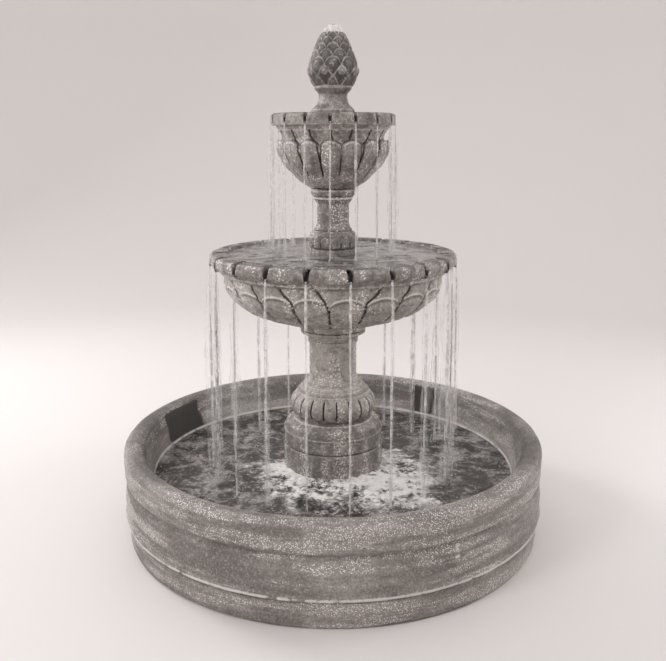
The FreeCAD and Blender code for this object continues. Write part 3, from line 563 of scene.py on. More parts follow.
def stone_finish(name, base, wetness, specks, mottling, fineness, stretch=(3.4, 3.4, 0.45)):
    """Cast stone: clouded base, drawn-out stains, dark pits, lime specks, grooves and hollows darkened with
    painted shade, and raised crests lightened partly by wear and partly by painted highlight.

    The pedestal's middle and the lower bowl's underside are lightened with painted light, and the upper
    pedestal is darkened with painted shade.
    """
    stone = bpy.context.scene.fountain_stone
    f = Finish(name, IOR=1.45)
    lime, stain_and_shade, dark, light = tuple(stone.lime), tuple(stone.stain_and_shade), times(0.30, base), times(2.0, base)
    clouds = f.noise(5.5, 4.0, 0.55, warp=0.3)
    mottle = f.noise(34.0, 6.0, 0.72, warp=0.5)
    grain = f.noise(105.0 * fineness, 5.0, 0.75)
    streaks = f.noise(8.0, 5.0, 0.6, where=f.stretched(stretch))
    shade = f.mix((clouds * 0.35 + streaks * 0.65).between(0.38, 0.62), times(0.62, base), times(1.34, base))
    z, r = f.height_and_radius()
    # Painted light on the pedestal's middle and the lower bowl's underside, and painted shade on the upper
    # pedestal.
    lit_shaft = z.within(0.30, 0.42, 0.58, 0.66) * (1 - r.between(0.12, 0.16))
    under = z.within(0.60, 0.64, 0.74, 0.77) * r.between(0.10, 0.16)
    neck = z.within(0.80, 0.84, 0.96, 1.0) * (1 - r.between(0.07, 0.09))
    shade = f.mix(lit_shaft * 0.55 + under * 0.35, shade, light)
    shade = f.mix(neck * 0.3, shade, dark)
    shade = f.mix((mottle - 0.5).between(0.01, 0.14) * (0.45 * mottling), shade, light)
    shade = f.mix((0.5 - mottle).between(0.01, 0.13) * (0.60 * mottling), shade, dark)
    shade = f.mix((grain - 0.5).between(0.02, 0.14) * 0.58, shade, light)
    shade = f.mix((0.5 - grain).between(0.03, 0.13) * 0.55, shade, dark)
    dots = (1 - f.cells(140.0 * fineness)).between(0.62, 0.74)
    spots = dots * (streaks * 0.8 + mottle * 0.2).between(0.49, 0.55)
    spots = spots * (1 - z.between(1.10, 1.18) * 0.7)
    crest, groove = f.attribute("crest"), f.attribute("groove")
    # Raised crests lightened towards lime: partly wear, partly painted highlight on ridges, beads and rings.
    worn_and_lit = (crest * (grain * 0.9 + mottle * 0.9)).between(0.35, 0.90)
    # Darkened where the groove attribute is strong: real stains, and painted shade in carved grooves and
    # hollows.
    shade = f.mix((groove + (mottle - 0.5) * 0.6 * groove).between(0.05, 0.70), shade, stain_and_shade)
    shade = f.mix((spots * specks * (1 - groove.between(0.40, 0.80))).held(), shade, times(1.2, lime))
    shade = f.mix((worn_and_lit * 0.8 * (1 - groove.between(0.40, 0.70))).held(), shade, lime)
    fine = grain * 0.9 + mottle * 1.0 + f.noise(320.0, 3.0) * 0.3
    pits = f.cells(110.0).between(0.02, 0.30)
    sheen = (clouds * 0.5 + streaks * 0.5).between(0.36, 0.54)
    f.wear(Base_Color=shade, Normal=f.bump(fine + pits * 0.4, 2.6 * MM, 0.85),
           Roughness=0.55 - sheen * (0.33 * wetness) + spots * 0.2)
    return f, shade


def plain_finish(name, shade, rough, metal=0.0, grain=220.0, depth=0.15 * MM, spread=0.25, stretch=(1, 1, 1)):
    """Moulded, drawn or rubber surface: fine grain in its colour, gloss and relief."""
    f = Finish(name, Metallic=metal)
    where = f.stretched(stretch)
    speckle = f.noise(grain, 4.0, 0.6, where=where)
    soft = f.noise(grain / 12, 3.0, 0.5, where=where)
    cloud = (speckle * 0.4 + soft * 0.6).between(0.35, 0.65)
    f.wear(Base_Color=f.mix(cloud, times(1 - spread, shade), times(1 + spread, shade)),
           Roughness=(rough + (soft - 0.5) * 0.3).held(), Normal=f.bump(speckle, depth, 0.5))
    return f


# ---------------------------------------------------------------- stone tiers
def rim_spouts(turn, r, z, top, rim_foot, rim_radius, rim_width, width, depth, sectors, first):
    """V-shaped spouts: over the rim the height is squeezed down to the floor of the nearest V.

    The V's floor lies depth below the top at the outside and 0.45 depth at the inside, its sides rise
    in a straight line over the spout's half width, and heights between the rim's foot and its top
    shrink in proportion, so that no faces fold.
    """
    across = np.abs(from_middle(turn, sectors, first)) * r
    inside = rim_radius - rim_width
    share = np.clip((r - inside) / rim_width, 0, 1)
    deep = depth * (0.45 + 0.55 * share)
    half_top, half_bottom = 0.56 * width, 0.15 * width
    cut = np.clip((half_top - across) / (half_top - half_bottom), 0, 1)
    floor = top - deep * cut
    over_rim = r > inside - 4 * MM
    lowest = np.where(share > 0.5, rim_foot, top - 0.5 * depth - 4 * MM)
    held = np.clip((z - lowest) / (top - lowest), 0, 1)
    height = np.where(over_rim & (z > lowest), lowest + held * (floor - lowest), z)
    dark = cut * over_rim * smooth(0.0, 0.35, held)
    # Painted highlight along the top edges of a spout's sides.
    edge = bell(across - half_top - 1.2 * MM, 1.6 * MM) * over_rim * (share > 0.6) * (held > 0.1)
    return height, dark, edge


def rim_blotches(z, foot, points):
    """Darker blotches on a rim's blocks, by smooth noise."""
    return (z > foot) * (0.16 + 0.22 * noise(points, 20 * MM, 47, 3))


def rim_stain(r, z, top, radius, points):
    """Where running water has darkened a rim's flat top, short of its outer edge."""
    patchy = 0.62 + 0.38 * noise(points, 18 * MM, 51, 3)
    flat = smooth(top - 5 * MM, top - 1.5 * MM, z)
    return 0.62 * patchy * flat * smooth(radius - 2 * MM, radius - 9 * MM, r)


def carve_lower_bowl(turn, r, z, points):
    """Petals under the bowl, leaning leaf edges above them, and the rim's spouts.

    A petal's top is the half ellipse z = join + (top - join) sqrt(1 - (2u)^2), where u runs from -0.5 to
    0.5 across it.  Leaf edges leave each joint and lean away from the front by an eased step.
    """
    stone = bpy.context.scene.fountain_stone
    low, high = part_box("lower_bowl")
    base, top, radius = low.z, high.z, high.x
    n, first = stone.lower_sectors, stone.lower_turn
    pitch = TURN / n
    outside = smooth(-0.01, 0.0, r - outer_of("lower_bowl", z))
    join, arch = base + stone.petal_join, base + stone.petal_top
    bead = top - 50 * MM
    u = from_middle(turn, n, first) / pitch
    arc = join + (arch - join) * np.sqrt(np.clip(1 - np.square(2 * u), 0, 1))
    below = smooth(2.5 * MM, -2.5 * MM, z - arc)
    foot = smooth(base + 26 * MM, base + 60 * MM, z)
    petal = 4.0 * MM * np.sqrt(np.clip(1 - np.square(2 * u), 0.0, 1)) * below * foot
    lip = bell(z - arc - 0.5 * MM, 3.4 * MM) * (z > join - 4 * MM)
    # Painted shadow just under each petal's lip.
    shadow_under_lip = bell(z - arc + 7 * MM, 4.5 * MM) * (z > join - 8 * MM)
    parting = (0.5 - np.abs(u)) * pitch * r
    jagged = 1.6 * MM * noise(points, 11 * MM, 81, 2)
    cleft = bell(parting + 0.8 * jagged, 3.6 * MM) * smooth(join + 3 * MM, join - 6 * MM, z)
    cleft = cleft * smooth(base + 24 * MM, base + 40 * MM, z)
    rise = np.clip((z - join) / (bead - join), 0, 1)
    lean = np.sign(half_turn(turn - first)) * stone.petal_lean * smooth(0, 1, rise)
    leaf = from_middle(turn - lean, n, first + pitch / 2) * r + 1.2 * jagged
    leaf = leaf + 5 * MM * noise(points, 26 * MM, 91)
    edge_width = (2.7 + 2.0 * smooth(0.1, 0.6, rise) * smooth(1.0, 0.7, rise)) * MM
    edge = bell(leaf, edge_width) * smooth(join - 4 * MM, join + 4 * MM, z)
    edge = edge * smooth(bead + 3 * MM, bead - 3 * MM, z)
    hollow = 3.0 * MM * smooth(0, 14 * MM, np.abs(leaf)) * smooth(join, join + 10 * MM, z)
    hollow = hollow * smooth(bead, bead - 12 * MM, z) * (1 - below)
    cut = stone.groove_depth * np.maximum(cleft, 0.85 * edge)
    out = outside * (petal + 2.2 * MM * lip - cut + 0.6 * hollow)
    rim_foot = top - LOWER_RIM_HEIGHT
    height, dark, lit = rim_spouts(turn, r, z, top, rim_foot, radius, LOWER_RIM_WIDTH, stone.lower_notch,
                                   stone.lower_notch_depth, n, first)
    block = outside * smooth(rim_foot, rim_foot + 10 * MM, z) * (1 - np.power(np.abs(2 * u), 6))
    out = out + 0.8 * MM * block * (r > radius - 24 * MM)
    # Painted shade in the petals' clefts, along the leaf edges and under the lips; rim stains and blotches
    # join it.
    groove = np.maximum(np.maximum(np.maximum(cleft, edge), 0.42 * shadow_under_lip) * outside, dark)
    groove = np.maximum(groove, rim_stain(r, z, top, radius, points))
    groove = np.maximum(groove, rim_blotches(z, rim_foot, points))
    # Painted highlights along the petals' lips, the bead and the spouts' edges.
    crest = np.maximum(np.maximum(lip, bell(z - bead, 4 * MM) * 0.7) * outside, lit * 0.6)
    return out, height, groove, crest


def carve_upper_bowl(turn, r, z, points):
    """Rounded lobes parted by darts that narrow downwards, leaning grooves above, and the rim's spouts."""
    stone = bpy.context.scene.fountain_stone
    low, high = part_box("upper_bowl")
    base, top, radius = low.z, high.z, high.x
    n, first = stone.upper_sectors, stone.upper_turn
    pitch = TURN / n
    belly = top - UPPER_RIM_HEIGHT - base
    outside = smooth(-0.01, 0.0, r - outer_of("upper_bowl", z))
    crown, foot = base + 0.755 * belly, base + 0.16 * belly
    u = from_middle(turn, n, first) / pitch
    arc = crown - 20 * MM + 20 * MM * np.sqrt(np.clip(1 - np.square(2 * u), 0, 1))
    below = smooth(2 * MM, -2 * MM, z - arc)
    brow = bell(z - arc - 3 * MM, 2.4 * MM) * (z > crown - 22 * MM)
    lobe = 8.5 * MM * np.sqrt(np.clip(1 - np.square(2 * u), 0, 1)) * below * smooth(foot, foot + 40 * MM, z)
    tall = np.clip((z - foot) / (crown - foot), 0, 1)
    jagged = 0.8 * MM * noise(points, 9 * MM, 83, 2)
    parting = np.abs((0.5 - np.abs(u)) * pitch * r + jagged)
    spread = 2.9 * MM + 7.5 * MM * smooth(0.40, 0.97, tall)
    dart = smooth(spread, spread * 0.45, parting) * below * smooth(foot, foot + 14 * MM, z)
    leaf = bell(parting, 0.40 * spread) * smooth(0.50, 0.75, tall) * below
    neck = base + 0.93 * belly
    rise = np.clip((z - crown + 14 * MM) / (neck - crown), 0, 1)
    facing = half_turn(turn - first - pitch / 2)
    lean = np.sign(facing) * stone.lobe_lean * smooth(0, 1, rise)
    away = from_middle(turn - lean, n, first + pitch / 2) * r + jagged
    above = bell(away, 3.2 * MM) * smooth(crown - 14 * MM, crown - 2 * MM, z)
    above = above * smooth(neck + 2 * MM, neck - 3 * MM, z)
    cross = np.minimum(np.abs(facing * r - 0.55 * (z - crown)), np.abs(facing * r + 0.55 * (z - crown)))
    front = smooth(22 * MM, 18 * MM, np.abs(facing) * r)
    rosette = bell(cross, 1.5 * MM) * smooth(neck, neck - 4 * MM, z)
    rosette = rosette * smooth(crown - 12 * MM, crown - 6 * MM, z) * front
    petals = bell(np.hypot(facing * r, z - crown + 4 * MM) - 7 * MM, 1.6 * MM) * front
    boss = bell(np.hypot(facing * r, z - crown + 4 * MM), 4 * MM)
    above = above * (1 - front)
    dart = dart * (1 - 0.55 * front)
    out = outside * (lobe - stone.groove_depth * (dart - 0.7 * leaf) - 3.2 * MM * above - 1.8 * MM * brow
                     + 1.6 * MM * (rosette + petals) + 2.5 * MM * boss)
    rim_foot = top - UPPER_SPOUT_FOOT
    height, dark, lit = rim_spouts(turn, r, z, top, rim_foot, radius, UPPER_RIM_WIDTH, stone.upper_notch,
                                   stone.upper_notch_depth, n, first)
    # Painted shade in the darts, the leaning grooves and the brow over the lobes; rim stains and blotches
    # join it.
    groove = np.maximum(np.maximum(np.maximum(dart - leaf, 0), np.maximum(above, 0.6 * brow)) * outside, dark)
    groove = np.maximum(groove, rim_stain(r, z, top, radius, points))
    groove = np.maximum(groove, 1.4 * rim_blotches(z, rim_foot, points))
    # Painted highlights just under the lobes' tops, on the neck's ring, the rosettes and the leaves.
    lobe_top_highlight = bell(z - arc + 5 * MM, 3 * MM) * (1 - bell(parting, 5 * MM)) * (z > crown - 22 * MM)
    rings = np.clip(bell(z - neck, 4 * MM) + lobe_top_highlight, 0, 1) * 0.8 + 0.5 * (rosette + petals)
    crest = np.maximum(rings * outside, np.maximum(lit * 0.6, leaf * outside * 0.6))
    return out, height, groove, crest


def outer_of(node, z):
    """Outer radius of a bowl's CAD shape at each height, read from the frame's own points."""
    return np.interp(z, *outer_profile[node])


def measure_outer(node, slices=60):
    """Heights, and the largest radius of a CAD node's points in a band about each one."""
    co = np.array([v.co for v in frame["nodes"][node].data.vertices], float)
    r = np.hypot(co[:, 0], co[:, 1])
    heights = np.linspace(co[:, 2].min(), co[:, 2].max(), slices)
    band = (heights[1] - heights[0]) * 1.2
    near = [r[np.abs(co[:, 2] - h) < band] for h in heights]
    radii = np.array([part.max() if len(part) else np.nan for part in near])
    good = ~np.isnan(radii)
    return heights[good], radii[good]


outer_profile = {node: measure_outer(node) for node in ("lower_bowl", "upper_bowl")}


def carve_pedestal(turn, r, z, points):
    """Rounded flutes on the swelling band: each panel swells by sqrt(1 - (2u)^4) between grooves painted dark
    as shade.  The moulding's concave corners get painted shade, and its rings and the flutes' tops painted
    highlights.
    """
    stone = bpy.context.scene.fountain_stone
    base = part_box("pedestal")[0].z
    first = stone.flute_turn + math.pi / stone.flutes
    pitch = TURN / stone.flutes
    band_low, band_high = base + 89 * MM, base + 153 * MM
    u = from_middle(turn, stone.flutes, first) / pitch
    within = smooth(band_low + 2 * MM, band_low + 8 * MM, z) * (r > 90 * MM)
    within = within * smooth(band_high - 1 * MM, band_high - 5 * MM, z)
    arc = band_high - 10 * MM * (1 - np.sqrt(np.clip(1 - np.square(2 * u), 0, 1)))
    panel = 2.8 * MM * np.sqrt(np.clip(1 - np.power(2 * u, 4), 0, 1)) * smooth(1 * MM, -3 * MM, z - arc)
    parting = (0.5 - np.abs(u)) * pitch * r
    # Painted shade in the grooves between the flutes.
    gap = bell(parting, 2.0 * MM) * within
    lid = bell(z - arc, 2.2 * MM) * within
    out = within * panel - stone.groove_depth * gap + 1.0 * MM * lid
    # Painted highlights along the moulding's rings.
    rings = sum(bell(z - base - h * MM, 2.5 * MM) for h in (42, 77, 157, 168, 177, 305, 326)) * (r > 60 * MM)
    # Painted shade in the moulding's concave corners.
    shaded_corners = sum(bell(z - base - h * MM, 2.0 * MM) for h in (47, 84, 162, 185, 313)) * (r > 60 * MM)
    return out, z, np.maximum(gap, 0.35 * np.clip(shaded_corners, 0, 1)), np.clip(0.8 * rings + 0.7 * lid, 0, 1)


def carve_upper_pedestal(turn, r, z, points):
    """A band of upright leaves round the top of the foot block: a row of ogives with gaps painted dark as
    shade.
    The ledge under the band and a line above the block get painted shade, and the rings, the leaves' upper
    edges and their ribs painted highlights.
    """
    low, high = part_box("upper_pedestal")
    block = low.z + 196 * MM
    leaves = 14
    pitch = TURN / leaves
    u = from_middle(turn, leaves, 0.12) / pitch
    band = smooth(block - 42 * MM, block - 38 * MM, z) * (r > 58 * MM)
    band = band * smooth(block - 5 * MM, block - 9 * MM, z)
    tip = block - 10 * MM - 16 * MM * np.square(2 * u)
    leaf = smooth(1.5 * MM, -1.5 * MM, z - tip)
    parting = (0.5 - np.abs(u)) * pitch * r
    gap = bell(parting, 1.8 * MM) * band * leaf
    rib = bell(u * pitch * r, 1.6 * MM) * band * leaf
    lip = bell(z - tip, 1.6 * MM) * band
    ledge = bell(z - block + 43 * MM, 2.2 * MM) * (r > 58 * MM)
    out = band * leaf * 2.0 * MM - 3.2 * MM * gap + 1.0 * MM * (rib + lip) - 1.6 * MM * ledge
    # Painted highlights on the rings, the leaves' upper edges and their ribs.
    rings = sum(bell(z - high.z + h * MM, 2.5 * MM) for h in (5, 25, 28)) * (r > 40 * MM)
    # Painted shade in the gaps, on the ledge and in a line above the block.
    dark = np.maximum(np.maximum(gap, 0.7 * ledge), 0.6 * bell(z - block - 8 * MM, 2.5 * MM) * (r > 40 * MM))
    return out, z, dark, np.clip(0.7 * rings + 0.7 * lip + 0.3 * rib, 0, 1)


def carve_finial(turn, r, z, points):
    """Overlapping scales in staggered rows.

    Row k starts at a height that follows a falling pitch, and is turned by half a scale from the row
    below.  A scale's upper edge is the half ellipse of its own width; the surface swells under it, and
    the two lowest rows carry a round boss.
    """
    stone = bpy.context.scene.fountain_stone
    low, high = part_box("finial")
    cone, tip = low.z + 207 * MM, high.z
    n = stone.scales
    pitch = TURN / n
    starts = cone + (tip - cone) * np.array([-0.16, 0.07, 0.27, 0.44, 0.59, 0.72, 0.84, 0.95])
    outside = (r > 20 * MM) & (z > cone - 1 * MM)
    swell, lines, bosses = np.zeros_like(r), np.zeros_like(r), np.zeros_like(r)
    for row in range(len(starts) - 1):
        u = from_middle(turn, n, 0.5 * pitch * (row % 2)) / pitch
        tall = starts[row + 1] - starts[row]
        shape = 1 - np.abs(2 * u) ** 1.1 if row < 2 else np.sqrt(np.clip(1 - np.square(2 * u), 0, 1))
        edge = starts[row] + 0.35 * tall + 1.15 * tall * shape
        lines = np.maximum(lines, bell((z - edge) / (1 + 1.6 * np.abs(u)), 1.6 * MM))
        middle = starts[row] + 0.95 * tall
        near = np.hypot(u * pitch * r, z - middle)
        swell = np.maximum(swell, bell(near, 0.42 * tall))
        if row == 1:
            bosses = np.maximum(bosses, bell(near, 4.6 * MM) + 0.6 * bell(near - 9 * MM, 2.2 * MM))
    out = outside * (2.4 * MM * swell + 2.2 * MM * lines + 3.0 * MM * bosses - 1.8 * MM)
    rings = (bell(z - cone + 2 * MM, 3.5 * MM) + bell(z - low.z - 144 * MM, 3 * MM)) * (r > 30 * MM)
    patchy = 0.5 + 0.5 * noise(points, 16 * MM, 91, 2)
    # Painted highlights on the scales' edges and the bosses, in patches, and on the rings.
    scaled = outside * (0.5 * lines * (0.5 + patchy) + 0.9 * bosses * smooth(0.45, 0.75, patchy))
    crest = np.clip(np.maximum(scaled, rings * 0.7), 0, 1)
    # Painted shade on the ground between the scales' edges, and in a ring below the cone.
    ground = np.clip(0.38 - 0.7 * lines - 0.5 * bosses, 0, 1) + 0.35 * np.clip(0.6 - lines - swell, 0, 1)
    groove = outside * ground + 0.3 * (z < cone) * bell(z - low.z - 186 * MM, 5 * MM)
    return out, z, groove, crest


def carve_pool(turn, r, z, points):
    """A hand-finished wall: the bead is chipped, the line below it is cut in, and the inner wall has two
    darker windows.

    The two darker windows are spans of angle with ragged edges, the lime run on the outside is a narrow one,
    and two wide stretches of the inner wall are dry and scaled with lime.  The bead gets a painted highlight,
    and the cut line, the groove under the rim's roll and the rim's top and inner roll get painted shade.
    """
    chips = smooth(0.1, 0.6, noise(points, 22 * MM, 31, 2))
    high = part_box("pool_basin")[1]
    outside = r > high.x - 30 * MM
    ragged = 0.03 * noise(points, 30 * MM, 71, 3)
    bead = bell(z - 82 * MM, 5 * MM) * outside
    seam = bell(z - 73 * MM, 3 * MM) * outside
    lip = bell(z - (high.z - 90 * MM), 4 * MM) * outside
    inner = smooth(high.x - 30 * MM, high.x - 44 * MM, r)
    inner = inner * smooth(high.z - 6 * MM, high.z - 14 * MM, z + 150 * MM * ragged)
    # Two darker windows on the inner wall, by angle, with ragged edges.
    stains = 0.0
    for middle, half in ((-114.5, 10.0), (144.0, 4.6)):
        away = np.abs(half_turn(turn - math.radians(middle)) + ragged)
        stains = stains + smooth(math.radians(half + 1), math.radians(half - 1), away)
    dry = bell(half_turn(turn + math.radians(144.0)), math.radians(21.0))
    dry = np.maximum(dry, 0.6 * bell(half_turn(turn - math.radians(112.0)), math.radians(24.0)))
    # Painted shade over the rim's top and inner roll, weaker over the scaled stretches.
    rim_roll_shade = smooth(high.x + 6 * MM, high.x - 24 * MM, r + 500 * MM * ragged) * (z > high.z - 60 * MM)
    rim_roll_shade = rim_roll_shade * smooth(high.z - 150 * MM, high.z - 70 * MM, z) * (0.36 - 0.32 * dry)
    run = bell(half_turn(turn - math.radians(29.5)) + 0.5 * ragged, 0.02) * outside
    run = run * smooth(140 * MM, 150 * MM, z) * smooth(215 * MM, 195 * MM, z)
    run = run * smooth(-0.3, 0.2, noise(points, 9 * MM, 77, 2))
    out = 1.2 * MM * bead - 2.6 * MM * chips * bead - 1.2 * MM * seam
    # Painted shade in the cut line under the bead and under the rim's roll, with the darker windows.
    groove = np.maximum(0.40 * seam + 0.10 * lip, stains * inner * 0.85)
    groove = np.maximum(groove, rim_roll_shade * (0.8 + 8 * ragged))
    scaled = 0.60 * dry * smooth(high.x - 30 * MM, high.x - 50 * MM, r) * (1 - np.clip(stains, 0, 1))
    # Painted highlight along the chipped bead.
    return out, z, groove, np.maximum(bead * (1 - 0.6 * chips) * 1.15, np.maximum(run, scaled))


def bowl_step(node, inner, low, high, fine, coarse):
    """Step for outline(): fine in the carved band, wider over the rest of the outside, coarse inside."""
    def step(r, z):
        if r < outer_of(node, z) - 12 * MM and r < inner - 6 * MM:
            return coarse
        return fine if low < z < high else 1.7 * fine
    return step


def fine_outside(fine, coarse, inner_radius):
    """Step for outline(): fine outside a radius and coarse inside it."""
    return lambda r, z: fine if r > inner_radius else coarse


class FOUNTAIN_OT_pool(bpy.types.Operator):
    """Turns the pool basin, and cuts its drain, cord hole and cord channel"""
    bl_idname = "fountain.pool"
    bl_label = "Pool basin"

    def execute(self, context):
        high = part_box("pool_basin")[1]
        collar, nut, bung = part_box("drain_collar"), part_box("drain_nut"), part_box("cord_bung")
        radius = high.x - 3 * MM
        height, floor = high.z + 3.2 * MM, collar[1].z - 6.5 * MM
        wall = radius - POOL_WALL
        rim_foot = height - 92 * MM
        profile = outline([
            (0, 0), (radius - 8 * MM, 0, 10 * MM), (radius - 1 * MM, 75 * MM, 4 * MM),
            (radius + 3 * MM, 78 * MM, 2 * MM), (radius + 3 * MM, 87 * MM, 2 * MM), (radius, 92 * MM, 3 * MM),
            (radius + 1 * MM, 136 * MM, 60 * MM), (radius - 4 * MM, rim_foot - 10 * MM, 12 * MM),
            (radius - 14 * MM, rim_foot, 2 * MM), (radius, rim_foot + 10 * MM, 9 * MM),
            (radius, height + 1 * MM, 34 * MM), (radius - 52 * MM, height - 8 * MM, 30 * MM),
            (wall, height - 112 * MM, 60 * MM), (wall - 16 * MM, floor, 34 * MM), (0, floor)],
            fine_outside(5 * MM, 90 * MM, wall - 25 * MM))
        turns = crowded(1, 860, 0.0)
        split = int(np.argmin(np.hypot(profile[:, 0], profile[:, 1] - floor)))
        profile = np.roll(profile, -(split + 1), axis=0)
        basin = turned("stone_pool_basin", profile, turns, carve_pool, poles=True)
        dx, dy = (collar[0].x + collar[1].x) / 2, (collar[0].y + collar[1].y) / 2
        bx, by = (bung[0].x + bung[1].x) / 2, (bung[0].y + bung[1].y) / 2
        cut_away(basin, [
            post((collar[1].x - collar[0].x) / 2 - 10 * MM, -0.01, floor + 0.01, dx, dy),
            post((nut[1].x - nut[0].x) / 2 + 6 * MM, -0.01, nut[1].z, dx, dy),
            post((bung[1].x - bung[0].x) / 2 - 4 * MM, -0.01, floor + 0.01, bx, by),
            slab((bx - 10 * MM, by, -0.01), (bx + 10 * MM, radius + 0.03, 14 * MM))])
        tier(basin, "pool_basin", pool_finish())
        return {"FINISHED"}


def pool_finish():
    """The drier pool stone, darker over the rim and inside it, with a lime line at the water's edge."""
    stone = bpy.context.scene.fountain_stone
    water = bpy.context.scene.fountain_water
    f, shade = stone_finish("pool_stone", tuple(stone.dry), 0.5, 1.0, 0.36, 1.7, (0.35, 0.35, 3.4))
    z, r = f.height_and_radius()
    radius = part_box("pool_basin")[1].x
    inside = 1 - (r + f.noise(22.0) * 0.02).between(radius - 30 * MM, radius - 12 * MM)
    bare = inside * (1 - z.between(0.17, 0.24)) * (1 - f.attribute("groove").between(0.3, 0.7))
    shade = f.mix(bare * 0.35, shade, times(1.7, stone.dry))
    line = (1 - ((z - (water.pool_level + 4 * MM)) ** 2.0 * (5 * MM) ** -2)).held() * inside
    shade = f.mix((line * f.noise(30.0).between(0.25, 0.5)).held(), shade, tuple(stone.lime))
    f.wear(Base_Color=shade)
    return f.material


class FOUNTAIN_OT_plinth(bpy.types.Operator):
    """Turns the hollow plinth, and cuts the water inlets at its foot"""
    bl_idname = "fountain.plinth"
    bl_label = "Plinth"

    def execute(self, context):
        low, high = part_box("plinth")
        radius = high.x
        inside, bore = radius - 35 * MM, 45 * MM
        roof = high.z - 30 * MM
        profile = outline([(inside, low.z), (radius, low.z, 3 * MM), (radius, high.z, 5 * MM),
                           (bore, high.z, 2 * MM), (bore, roof), (inside, roof, 18 * MM)],
                          fine_outside(4 * MM, 14 * MM, radius - 8 * MM))
        plinth = turned("stone_plinth", profile, crowded(1, 320, 0.0), plain)
        arches = [arch_cutter(50 * MM, 32 * MM, low.z, radius + 20 * MM, across) for across in (False, True)]
        cut_away(plinth, arches)
        tier(plinth, "plinth", made_once("wet_stone", wet_stone))
        return {"FINISHED"}


def wet_stone(name):
    """The wetted stone that all tiers share."""
    base = tuple(bpy.context.scene.fountain_stone.wet)
    return stone_finish(name, base, 1.0, 0.85, 0.80, 1.15)[0].material


class FOUNTAIN_OT_pedestal(bpy.types.Operator):
    """Turns the moulded pedestal and its fluted band"""
    bl_idname = "fountain.pedestal"
    bl_label = "Pedestal"

    def execute(self, context):
        low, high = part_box("pedestal")
        base, top = low.z, high.z
        corners = [
            (38, 0), (145, 0, 4), (145, 38, 2), (147, 40, 1.5), (147, 45, 1.5), (141, 48, 2), (139, 66, 16),
            (119, 74, 2), (118, 79, 3), (100, 82, 3), (100, 87, 1), (112, 88, 2), (125, 115, 26),
            (120, 135, 26), (106, 154, 3), (106, 162, 3), (95, 165, 1), (95, 174, 4), (83, 177, 1),
            (82, 185, 4), (74, 190, 4), (69, 208, 14), (69, 304, 3), (73, 306, 1.5), (73, 313, 1.5),
            (71, 315, 1), (78, 326, 12), (94, 334, 2), (94, 342, 2), (38, 342)]
        stretch = (top - base) / (342 * MM)
        placed = [(c[0] * MM, base + c[1] * MM * stretch, *(k * MM for k in c[2:])) for c in corners]
        profile = outline(placed, fine_outside(2.2 * MM, 30 * MM, 42 * MM))
        stone = context.scene.fountain_stone
        turns = crowded(stone.flutes, 22, FRONT + stone.flute_turn, 0.5)
        piece = turned("stone_pedestal", profile, turns, carve_pedestal)
        tier(piece, "pedestal", made_once("wet_stone", wet_stone))
        return {"FINISHED"}


class FOUNTAIN_OT_lower_bowl(bpy.types.Operator):
    """Turns and carves the wide lower bowl"""
    bl_idname = "fountain.lower_bowl"
    bl_label = "Lower bowl"

    def execute(self, context):
        stone = context.scene.fountain_stone
        low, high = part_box("lower_bowl")
        base, top, radius = low.z, high.z, high.x
        foot = top - LOWER_RIM_HEIGHT
        belly = foot - base
        inner = radius - LOWER_RIM_WIDTH
        seat = base + 80 * MM
        profile = outline([
            (19 * MM, base), (97 * MM, base, 4 * MM), (97 * MM, base + 20 * MM, 4 * MM),
            (radius * 0.44, base + 29 * MM, 60 * MM), (radius * 0.70, base + 0.34 * belly, 120 * MM),
            (radius * 0.855, base + 0.57 * belly, 60 * MM), (radius - 41 * MM, base + 0.79 * belly, 12 * MM),
            (radius - 41 * MM, foot - 22 * MM, 4 * MM), (radius - 30 * MM, foot - 16 * MM, 2 * MM),
            (radius - 24 * MM, foot - 12 * MM, 3 * MM), (radius - 26 * MM, foot - 6 * MM, 3 * MM),
            (radius - 12 * MM, foot, 4 * MM), (radius, foot + 12 * MM, 12 * MM),
            (radius, top - 3 * MM, 12 * MM), (radius - 20 * MM, top, 12 * MM), (inner, top, 5 * MM),
            (inner - 8 * MM, base + 0.88 * belly, 30 * MM), (radius * 0.70, base + 0.56 * belly, 90 * MM),
            (112 * MM, seat - 18 * MM, 14 * MM), (96 * MM, seat - 20 * MM, 6 * MM), (92 * MM, seat, 4 * MM),
            (22 * MM, seat)],
            bowl_step("lower_bowl", inner, base + 102 * MM, base + 150 * MM, 2.5 * MM, 34 * MM))
        turns = crowded(stone.lower_sectors, 40, FRONT + stone.lower_turn, 0.55)
        piece = turned("stone_lower_bowl", profile, turns, carve_lower_bowl)
        tier(piece, "lower_bowl", made_once("wet_stone", wet_stone))
        return {"FINISHED"}


class FOUNTAIN_OT_upper_pedestal(bpy.types.Operator):
    """Turns the upper pedestal and its band of leaves"""
    bl_idname = "fountain.upper_pedestal"
    bl_label = "Upper pedestal"

    def execute(self, context):
        low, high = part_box("upper_pedestal")
        base, top = low.z, high.z
        block = base + 196 * MM
        profile = outline([
            (27 * MM, base), (65.5 * MM, base, 3 * MM), (65.5 * MM, block - 6 * MM, 3 * MM),
            (62.5 * MM, block, 3 * MM), (54.5 * MM, block + 5 * MM, 1 * MM),
            (53.5 * MM, block + 11 * MM, 3 * MM), (49 * MM, block + 14 * MM, 3 * MM),
            (45 * MM, block + 30 * MM, 14 * MM),
            (45 * MM, top - 42 * MM, 4 * MM), (54 * MM, top - 30 * MM, 8 * MM),
            (56 * MM, top - 28 * MM, 1.5 * MM), (56 * MM, top - 22 * MM, 1.5 * MM),
            (61 * MM, top - 18 * MM, 3 * MM), (64 * MM, top - 10 * MM, 5 * MM), (64 * MM, top, 4 * MM),
            (27 * MM, top)],
            fine_outside(2.2 * MM, 30 * MM, 30 * MM))
        piece = turned("stone_upper_pedestal", profile, crowded(1, 336, 0.0), carve_upper_pedestal)
        tier(piece, "upper_pedestal", made_once("wet_stone", wet_stone))
        return {"FINISHED"}


